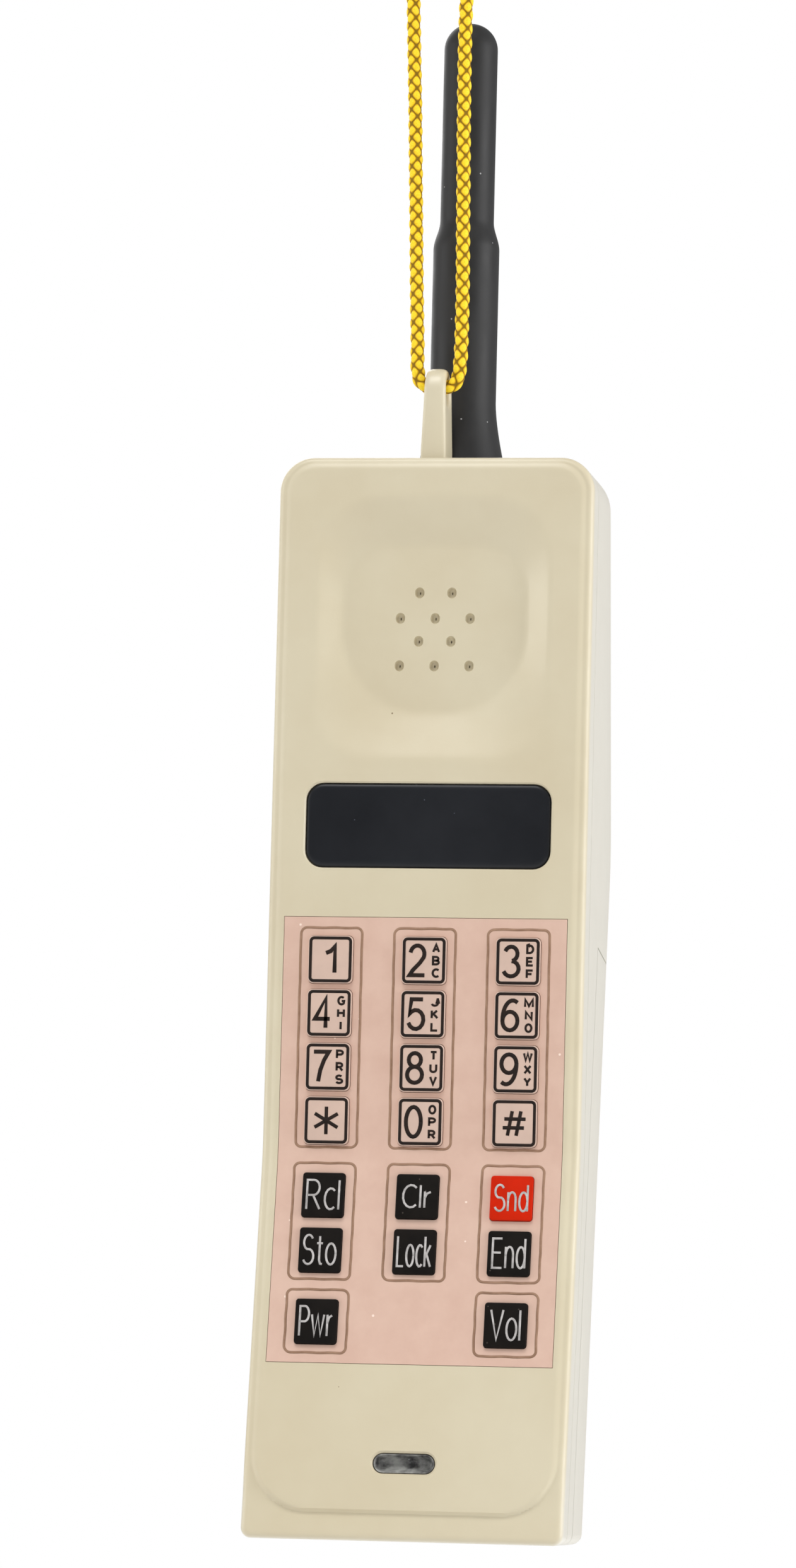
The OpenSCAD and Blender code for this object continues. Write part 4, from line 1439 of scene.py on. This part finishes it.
# each sign as the middle lines of its strokes, in a box as tall as a capital
GLYPHS = {
    "0": [arc(0.3, 0.5, 0.27, 0.5, 0, 360, 25)],
    "1": [[(0, 0.74), (0.14, 0.82), (0.25, 1), (0.25, 0)]],
    "2": [arc(0.3, 0.72, 0.26, 0.28, 172, -25) + [(0.4, 0.42), (0.14, 0.17), (0.02, 0), (0.58, 0)]],
    "3": [arc(0.27, 0.76, 0.22, 0.24, 160, -80), arc(0.27, 0.26, 0.27, 0.26, 85, -160)],
    "4": [[(0.44, 0), (0.44, 1), (0.02, 0.3), (0.6, 0.3)]],
    "5": [[(0.53, 1), (0.13, 1), (0.07, 0.5)] + arc(0.29, 0.32, 0.27, 0.32, 125, -160)],
    "6": [arc(0.31, 0.31, 0.27, 0.31, 0, 360, 21), arc(0.4, 0.36, 0.36, 0.64, 62, 186)],
    "7": [[(0.02, 1), (0.57, 1), (0.4, 0.72), (0.27, 0.38), (0.2, 0)]],
    "8": [arc(0.3, 0.77, 0.22, 0.23, 0, 360, 21), arc(0.3, 0.27, 0.27, 0.27, 0, 360, 21)],
    "9": [arc(0.29, 0.69, 0.27, 0.31, 0, 360, 21), arc(0.2, 0.64, 0.36, 0.64, -118, 6)],
    "*": [[(0.5, 0), (0.5, 1)], [(0.07, 0.25), (0.93, 0.75)], [(0.07, 0.75), (0.93, 0.25)]],
    "#": [[(0.2, 0), (0.38, 1)], [(0.56, 0), (0.74, 1)], [(0, 0.32), (0.88, 0.32)],
          [(0.06, 0.68), (0.94, 0.68)]],
    "A": [[(0, 0), (0.33, 1), (0.66, 0)], [(0.12, 0.34), (0.54, 0.34)]],
    "B": [[(0.31, 0.52)] + arc(0.33, 0.26, 0.26, 0.26, 90, -90) + [(0.05, 0), (0.05, 1)] + BOWL[1:],
          [(0.05, 0.5), (0.31, 0.5)]],
    "C": [arc(0.38, 0.5, 0.34, 0.5, 48, 312)],
    "D": [[(0.05, 0), (0.05, 1), (0.28, 1)] + arc(0.28, 0.5, 0.35, 0.5, 90, -90) + [(0.05, 0)]],
    "E": [[(0.56, 1), (0.05, 1), (0.05, 0), (0.58, 0)], [(0.05, 0.52), (0.5, 0.52)]],
    "F": [[(0.55, 1), (0.05, 1), (0.05, 0)], [(0.05, 0.52), (0.46, 0.52)]],
    "G": [arc(0.38, 0.5, 0.34, 0.5, 48, 318) + [(0.66, 0.46), (0.4, 0.46)]],
    "H": [[(0.05, 0), (0.05, 1)], [(0.6, 0), (0.6, 1)], [(0.05, 0.52), (0.6, 0.52)]],
    "I": [[(0, 0), (0, 1)]],
    "J": [[(0.42, 1), (0.42, 0.28)] + arc(0.22, 0.28, 0.2, 0.28, 0, -170)],
    "K": [[(0.05, 0), (0.05, 1)], [(0.56, 1), (0.05, 0.36)], [(0.22, 0.57), (0.62, 0)]],
    "L": [[(0.05, 1), (0.05, 0), (0.5, 0)]],
    "M": [[(0.04, 0), (0.04, 1), (0.38, 0.1), (0.72, 1), (0.72, 0)]],
    "N": [[(0.05, 0), (0.05, 1), (0.6, 0), (0.6, 1)]],
    "O": [arc(0.38, 0.5, 0.35, 0.5, 0, 360, 25)],
    "P": [[(0.05, 0), (0.05, 1)] + BOWL + [(0.05, 0.48)]],
    "R": [[(0.05, 0), (0.05, 1)] + BOWL + [(0.05, 0.48)], [(0.3, 0.48), (0.58, 0)]],
    "S": [arc(0.3, 0.75, 0.24, 0.25, 30, 250) + arc(0.31, 0.26, 0.27, 0.26, 70, -155)],
    "T": [[(0, 1), (0.6, 1)], [(0.3, 1), (0.3, 0)]],
    "U": [[(0.05, 1)] + arc(0.32, 0.3, 0.27, 0.3, 180, 360) + [(0.59, 1)]],
    "V": [[(0, 1), (0.31, 0), (0.62, 1)]],
    "W": [[(0, 1), (0.21, 0), (0.43, 1), (0.65, 0), (0.86, 1)]],
    "X": [[(0, 0), (0.6, 1)], [(0, 1), (0.6, 0)]],
    "Y": [[(0, 1), (0.3, 0.45), (0.6, 1)], [(0.3, 0.45), (0.3, 0)]],
    "c": [arc(0.27, 0.36, 0.24, 0.36, 50, 310)],
    "d": [arc(0.25, 0.36, 0.22, 0.36, 0, 360, 21), [(0.47, 0), (0.47, 1)]],
    "k": [[(0.03, 0), (0.03, 1)], [(0.4, 0.72), (0.03, 0.28)], [(0.15, 0.42), (0.43, 0)]],
    "l": [[(0, 0), (0, 1)]],
    "n": [
        [(0.02, 0), (0.02, 0.72)],
        [(0.02, 0.4)] + arc(0.23, 0.44, 0.2, 0.28, 160, 0) + [(0.43, 0)],
    ],
    "o": [arc(0.27, 0.36, 0.25, 0.36, 0, 360, 21)],
    "r": [[(0.02, 0), (0.02, 0.72)], [(0.02, 0.42), (0.11, 0.63), (0.27, 0.7)]],
    "t": [[(0.14, 0.96), (0.14, 0.14), (0.2, 0.02), (0.3, 0.01)], [(0, 0.72), (0.3, 0.72)]],
    "w": [[(0, 0.72), (0.17, 0), (0.34, 0.72), (0.51, 0), (0.68, 0.72)]],
}  # fmt: skip


def set_word(text, width, height):
    """The strokes of a word, fitted to a width and a height about its middle."""
    strokes, start = [], 0.0
    for letter in text:
        shapes = [np.array(line, float) for line in GLYPHS[letter]]
        strokes += [line + [start, 0] for line in shapes]
        start += max(line[:, 0].max() for line in shapes) + 0.17
    every = np.concatenate(strokes)
    low, high = every.min(0), every.max(0)
    span = np.maximum(high - low, 1e-6)
    return [(line - (low + high) / 2) / span * [width, height] for line in strokes]


def ribbon(line, half):
    """The two edges of a stroke along a line, with mitred corners."""
    closed = np.allclose(line[0], line[-1])
    run = np.diff(line, axis=0)
    run /= np.maximum(np.linalg.norm(run, axis=1), 1e-9)[:, None]
    before = np.concatenate([run[-1:] if closed else run[:1], run])
    after = np.concatenate([run, run[:1] if closed else run[-1:]])
    square = (before + after)[:, ::-1] * [-1, 1]
    square /= np.maximum(np.linalg.norm(square, axis=1), 1e-6)[:, None]
    lean = np.maximum((square * (after[:, ::-1] * [-1, 1])).sum(1), 0.45)[:, None]
    return line + square * half / lean, line - square * half / lean


def lettering(text, width, height, weight, x, z, dx=0.0, dz=0.0, d=0.0):
    """Letters as thin solid strokes on the face at (x, z), moved by (dx, dz) along it, with
    their backs at depth d. Strokes that cross differ a hair in thickness."""
    ink = settings("phone_keys").ink
    strips = []
    for i, line in enumerate(set_word(text, width, height)):
        left, right = ribbon(line + [dx, dz], weight / 2)
        top = d - ink - 0.002 * (i % 4)
        rings = [on_face(edge, level, x, z) for edge, level in (
            (left, d + 0.01), (left, top), (right, top), (right, d + 0.01))]  # fmt: skip
        strips.append(stack("stroke", np.stack(rings, 1)))
    return join("letters", strips)


KEY_TOP = -0.7  # the keys' tops stand this far out of the face


class PHONE_OT_keys(PhoneOperator):
    """Form the twenty keys and their print"""

    bl_idname = "phone.keys"
    bl_label = "Keys"

    def make(self):
        for name, x, z, w, h, r in key_places():
            node = "key_" + name
            self.cap(node, x, z, w, h, r)
            if name in NUMBER_KEYS:
                self.number_print(node, name, x, z, w, h, r)
            else:
                width, height = self.WORDS.get(name, (6.1, 5.6))
                letters = lettering(name.capitalize(), width, height, 0.4, x, z, d=KEY_TOP)
                letters.name = node + "_print"
                piece(letters, pale_ink(), node)

    WORDS = {"clr": (5.2, 4.3), "snd": (6.1, 5.0), "lock": (6.3, 5.7), "vol": (5.5, 5.7)}

    def cap(self, node, x, z, w, h, r):
        """A key: a skirt, a round edge, and a flat top."""
        edge = settings("phone_keys").edge
        bend = np.linspace(0, math.pi / 2, 5)
        steps = [(-1.0, 3.2), (-1.0, 2.2), (0, 2.2)]
        steps += [(edge * (1 - math.cos(a)), KEY_TOP + edge * (1 - math.sin(a))) for a in bend]
        cap = key_stack(node + "_cap", w, h, r, steps, x, z)
        if node == "key_snd":
            material, slot = red_key(), "key_red"
        elif node[4:] in NUMBER_KEYS:
            material, slot = key_plastic(), "key_clear"
        else:
            material, slot = black_key(), "key_black"
        piece(smooth(cap, 40), material, node, [node])

    def number_print(self, node, name, x, z, w, h, r):
        """The ring, the digit or sign, and the letters beside it."""
        keys = settings("phone_keys")
        inset = keys.edge + 0.01
        ring = ring_strip(
            "ring", w - 2 * inset, h - 2 * inset, r, keys.ring, KEY_TOP - keys.ink, KEY_TOP + 0.01,
            x, z,
        )  # fmt: skip
        parts = [ring]
        if name in SIGNS:
            size = (4.4, 5.2) if name == "star" else (4.3, 4.6)
            parts.append(lettering(SIGNS[name], *size, 0.66, x, z, d=KEY_TOP))
        elif name == "1":
            parts.append(lettering("1", 1.7, 5.0, 0.78, x, z, d=KEY_TOP))
        else:
            parts.append(lettering(name, 2.85, 5.6, 0.76, x, z, dx=-1.25, d=KEY_TOP))
            for letter, up in zip(LETTERS[name], (2.35, 0, -2.35)):
                wide = 0.01 if letter == "I" else 1.45 if letter in "MW" else 1.1
                parts.append(
                    lettering(letter, wide, 1.4, 0.42, x, z, dx=2.3, dz=up, d=KEY_TOP)
                )
        piece(join(node + "_print", parts), dark_ink(), node)


class PHONE_OT_antenna(PhoneOperator):
    """Turn the antenna's rubber sheath"""

    bl_idname = "phone.antenna"
    bl_label = "Antenna"

    def make(self):
        foot_r, low_r, top_r = 8.5, 6.4, 5.2
        foot, flare_h, step, slim = CASE_H + 0.3, 13.0, CASE_H + 43.7, CASE_H + 49.3
        t = np.linspace(0, 1, 14)
        flare = np.stack([low_r + (foot_r - low_r) * (1 - t) ** 1.5, foot + 0.4 + flare_h * t], 1)
        s = np.linspace(0, 1, 12)
        neck = np.stack([low_r + (top_r - low_r) * ease(s), step + (slim - step) * s], 1)
        a = np.linspace(0, math.pi / 2, 14)
        tip = np.stack([top_r * np.cos(a), ANT_TOP - top_r + top_r * np.sin(a)], 1)
        profile = np.concatenate([
            [[0, foot], [foot_r - 0.5, foot], [foot_r - 0.12, foot + 0.12]], flare, neck, tip[:-1],
            [[0, ANT_TOP]],
        ])  # fmt: skip
        sheath = lathe("antenna_cover", ANT_X, ANT_Y, profile, 72)
        face_outwards(sheath)
        piece(smooth(sheath, 40), satin_rubber(), "antenna", ["antenna_sheath"])


class PHONE_OT_eye(PhoneOperator):
    """Form the hanging eye"""

    bl_idname = "phone.eye"
    bl_label = "Hanging eye"

    def make(self):
        """A band between the bore and the outline, carried round the bore: at each angle its
        section is a superellipse, rounder where the band is thin."""
        x, y, _ = middle("hanging_eye")
        z, bore, outer, foot = 218.4, 2.4, 4.6, CASE_H - 2
        turn = full_turn(72)
        c, s = np.cos(turn), np.sin(turn)
        side = outer / np.maximum(np.abs(c), 1e-6)
        down = (z - foot) / np.maximum(-s, 1e-6)
        reach = np.where(s >= 0, outer, np.minimum(side, down))
        mid, long = (bore + reach) / 2, (reach - bore) / 2
        around = full_turn(28)
        power = (2 / (2.2 + 0.9 * long))[:, None]
        ca, sa = np.cos(around)[None], np.sin(around)[None]
        radial = mid[:, None] + long[:, None] * np.sign(ca) * np.abs(ca) ** power
        height = z + radial * s[:, None]
        thick = np.interp(height, [CASE_H, z + outer], [2.5, 1.9])
        points = np.stack(
            [x + thick * np.sign(sa) * np.abs(sa) ** power, y + radial * c[:, None], height], -1
        )
        n, k = points.shape[:2]
        closed = np.concatenate([points, points[:1]])
        faces = grid_faces(n + 1, k, around=True)
        faces = np.where(faces >= n * k, faces - n * k, faces)
        eye = new_object("eye_loop", closed[:-1].reshape(-1, 3), faces)
        face_outwards(eye)
        piece(smooth(eye, 50), beige_paint(), "handset", ["hanging_eye"])


class PHONE_OT_latch(PhoneOperator):
    """Form the ribbed latch of the battery pack and its coil spring"""

    bl_idname = "phone.latch"
    bl_label = "Latch and spring"

    def make(self):
        """The thumb pad is a stack along the slope: each section is a rounded bar whose
        height follows a row of ribs. The coil rides in a seat cut into the tongue's top edge,
        as deep as the latch's travel."""
        up = np.linspace(0, 1, 65)
        rib = (
            0.28
            * (0.5 - 0.5 * np.cos(2 * math.pi * 5 * up))
            * (ease(up * 8) * ease((1 - up) * 8))
        )
        rings = []
        for t, lift in zip(up, rib):
            end = math.sqrt(max(1 - (2 * t - 1) ** 8, 0.15))
            w, tall = 13.0 * (0.9 + 0.1 * end), 1.25 * end + lift
            outline = round_outline(w, tall, min(0.5, tall / 2.2), 5)
            rings.append(np.column_stack([outline[:, 0], 0.15 + tall / 2 + outline[:, 1],
                                          np.full(len(outline), -18.2 + 8 * t)]))  # fmt: skip
        pad = stack("pad", on_back(rings))
        stem = back_box("stem", (-4, -2.2, -18.2), (4, 0.2, -11.2))
        tongue = back_box("tongue", (-6, -4.4, -21.7), (6, -2.2, -11.2))
        for block in (stem, tongue):
            carve(block, back_box("seat", (-1.6, -4.9, -14.4), (1.6, -1.8, -11)))
        latch = join("latch_pad", [pad, stem, tongue])
        piece(smooth(latch, 35), pale_lit_paint(), "latch", ["battery_latch"])
        turn = np.linspace(0, 2 * math.pi * 6, 160)
        helix = np.stack(
            [
                1.15 * np.cos(turn),
                -3.4 + 1.15 * np.sin(turn),
                np.interp(turn, [0, turn[-1]], [-10.9, -4.3]),
            ],
            1,
        )
        spring = wire("latch_coil", on_back(helix), 0.22)
        steel = metal("spring_steel", (0.6, 0.6, 0.62), (0.5, 0.5, 0.52), 0.3)
        piece(smooth(spring, 60), steel, "handset", ["latch_spring"])


def wire(name, path, r, sides=10):
    """A round wire along a path, its rings square to it."""
    ahead = np.gradient(path, axis=0)
    ahead /= np.linalg.norm(ahead, axis=1)[:, None]
    one = np.cross(ahead, [0.3, 0.2, 0.9])
    one /= np.linalg.norm(one, axis=1)[:, None]
    other = np.cross(ahead, one)
    turn = full_turn(sides)
    c, s = np.cos(turn)[None, :, None], np.sin(turn)[None, :, None]
    return stack(name, path[:, None] + r * (c * one[:, None] + s * other[:, None]))


class PHONE_OT_inner_parts(PhoneOperator):
    """Give the pieces inside the case, and the small metal ones, their finishes"""

    bl_idname = "phone.inner_parts"
    bl_label = "Inner parts"

    def make(self):
        dark = finish("dark_plastic", srgb(40, 41, 43), srgb(54, 55, 58), 0.5, scale=120.0)
        chip = finish("chip_resin", srgb(30, 30, 33), srgb(42, 42, 45), 0.55, scale=200.0)
        film = finish(
            "amber_film", srgb(196, 124, 42), srgb(168, 98, 28), 0.3, scale=200.0, coat=0.4
        )
        gold = metal("gold_plate", (0.83, 0.62, 0.28), (0.75, 0.54, 0.22), 0.28)
        steel = metal("zinc_plate", (0.62, 0.62, 0.64), (0.5, 0.5, 0.52), 0.38)
        copper = metal("copper_wire", (0.72, 0.32, 0.16), (0.6, 0.26, 0.12), 0.3)
        foam = finish(
            "foam", srgb(46, 46, 48), srgb(62, 62, 64), 0.9, scale=900.0, grain=(1500.0, 0.8, 0.1)
        )
        wrap = finish("cell_wrap", srgb(52, 92, 148), srgb(44, 80, 132), 0.3, scale=80.0, coat=0.4)
        green = board_lacquer("green_board", srgb(26, 92, 52))
        blue = board_lacquer("blue_board", srgb(26, 66, 104))
        wearing = {
            dark: ("display_frame", "display_module", "ringer", "earpiece_speaker"),
            chip: ("main_board_chips",),
            film: ("display_ribbon", "key_board_ribbon"),
            gold: ("board_pillars", "antenna_socket", "antenna_stud", "battery_terminals",
                   "battery_contacts", "charging_contacts", "antenna_lead", "speaker_contacts"),
            steel: ("microphone", "radio_shield", "board_screws", "case_screws"),
            copper: ("antenna_coil",),
            foam: ("earpiece_gasket",),
            wrap: ("battery_cells",),
            green: ("main_board", "upper_key_board", "lower_key_board"),
            blue: ("radio_board",),
            pale_lit_paint(): ("battery_lid",),
            boot_rubber(): ("keypad_membrane",),
        }  # fmt: skip
        for material, nodes in wearing.items():
            for node in nodes:
                NODES[node].data.materials.clear()
                NODES[node].data.materials.append(material)


class PHONE_OT_stage(PhoneOperator):
    """Lay a pale floor under the phone and light it softly"""

    bl_idname = "phone.stage"
    bl_label = "Stage"

    def make(self):
        self.floor()
        self.surroundings()
        bpy.context.scene.view_settings.view_transform = "Standard"
        lights = (
            ("key_light", (-0.2, -0.75, 1.15), 0.8, 5.5),
            ("left_light", (-1.2, -0.35, 0.2), 0.8, 4.5),
            ("side_light", (1.2, -0.2, 0.25), 0.8, 9.5),
            ("back_light", (-0.5, 0.9, 0.6), 0.9, 5.0),
        )
        sun = bpy.data.lights.new("sun", "SUN")
        sun.energy = 0.85
        sun.angle = 0.5
        placed("sun", sun).rotation_euler = (math.radians(24), math.radians(-8), 0)
        centre = Vector(at((0, 15, 110)))
        for name, offset, size, power in lights:
            data = bpy.data.lights.new(name, "AREA")
            data.size = size
            data.energy = power
            light = placed(name, data)
            light.location = centre + Vector(offset)
            light.rotation_euler = (centre - light.location).to_track_quat("-Z", "Y").to_euler()

    def surroundings(self):
        """A white room, which looks brighter than the light it sheds."""
        world = bpy.data.worlds.new("studio")
        bpy.context.scene.world = world
        world.use_nodes = True
        tree = world.node_tree
        sky = tree.nodes["Background"]
        sky.inputs["Color"].default_value = (1, 1, 1, 1)
        seen = tree.nodes.new("ShaderNodeLightPath")
        level = add(tree, "MapRange")
        level.inputs["To Min"].default_value = settings("phone_stage").ambient
        level.inputs["To Max"].default_value = 1.0
        tree.links.new(seen.outputs["Is Camera Ray"], level.inputs["Value"])
        tree.links.new(level.outputs["Result"], sky.inputs["Strength"])

    def floor(self):
        """A flat square sheet, a hand's width below the hanging phone, that fades into the
        backdrop away from the middle."""
        side = np.array([-1500.0, 1500.0])
        corners = [[x, 20 + y, -150.0] for y in side for x in side]
        floor = new_object("floor", corners, grid_faces(2, 2))
        material = finish("pale_floor", (0.93, 0.93, 0.93), (0.91, 0.91, 0.91), 0.8, scale=3.0)
        tree = material.node_tree
        place = tree.nodes.new("ShaderNodeTexCoord")
        flat = add(tree, "Mapping")
        flat.inputs["Scale"].default_value = (1 / 1.2, 1 / 1.2, 0)
        near = add(tree, "TexGradient", gradient_type="SPHERICAL")
        tree.links.new(place.outputs["Object"], flat.inputs["Vector"])
        tree.links.new(flat.outputs["Vector"], near.inputs["Vector"])
        seen = tree.nodes.new("ShaderNodeLightPath")
        away = ramp(tree, near.outputs["Fac"], 0.6, 0.1)
        glow = add(tree, "Emission", strength=1.0)
        glow.inputs["Color"].default_value = (1, 1, 1, 1)
        blend = tree.nodes.new("ShaderNodeMixShader")
        far = times(tree, away, seen.outputs["Is Camera Ray"])
        tree.links.new(far, blend.inputs["Fac"])
        tree.links.new(tree.nodes["Principled BSDF"].outputs["BSDF"], blend.inputs[1])
        tree.links.new(glow.outputs["Emission"], blend.inputs[2])
        tree.links.new(blend.outputs["Shader"], tree.nodes["Material Output"].inputs["Surface"])
        floor.data.materials.append(material)


MAKERS = (
    PHONE_OT_camera,
    PHONE_OT_cord,
    PHONE_OT_front_cover,
    PHONE_OT_rear_cover,
    PHONE_OT_battery,
    PHONE_OT_lens,
    PHONE_OT_mic_boot,
    PHONE_OT_keypad_panel,
    PHONE_OT_keys,
    PHONE_OT_antenna,
    PHONE_OT_eye,
    PHONE_OT_latch,
    PHONE_OT_inner_parts,
    PHONE_OT_stage,
)


class PHONE_PT_panel(bpy.types.Panel):
    """Lists the pieces of the phone"""

    bl_idname = "PHONE_PT_panel"
    bl_label = "Brick phone"
    bl_space_type = "VIEW_3D"
    bl_region_type = "UI"
    bl_category = "Phone"

    def draw(self, context):
        for maker in MAKERS:
            self.layout.operator(maker.bl_idname)
        for name, group in SETTINGS.items():
            box = self.layout.box()
            for key in group.__annotations__:
                box.prop(getattr(context.scene, name), key)


CLASSES = (*SETTINGS.values(), *MAKERS, PHONE_PT_panel)


def register():
    for cls in CLASSES:
        bpy.utils.register_class(cls)
    for name, group in SETTINGS.items():
        setattr(bpy.types.Scene, name, bpy.props.PointerProperty(type=group))


def unregister():
    for name in SETTINGS:
        delattr(bpy.types.Scene, name)
    for cls in reversed(CLASSES):
        bpy.utils.unregister_class(cls)


def main():
    register()
    for maker in MAKERS:
        family, name = maker.bl_idname.split(".")
        getattr(getattr(bpy.ops, family), name)()


if __name__ == "__main__":
    main()
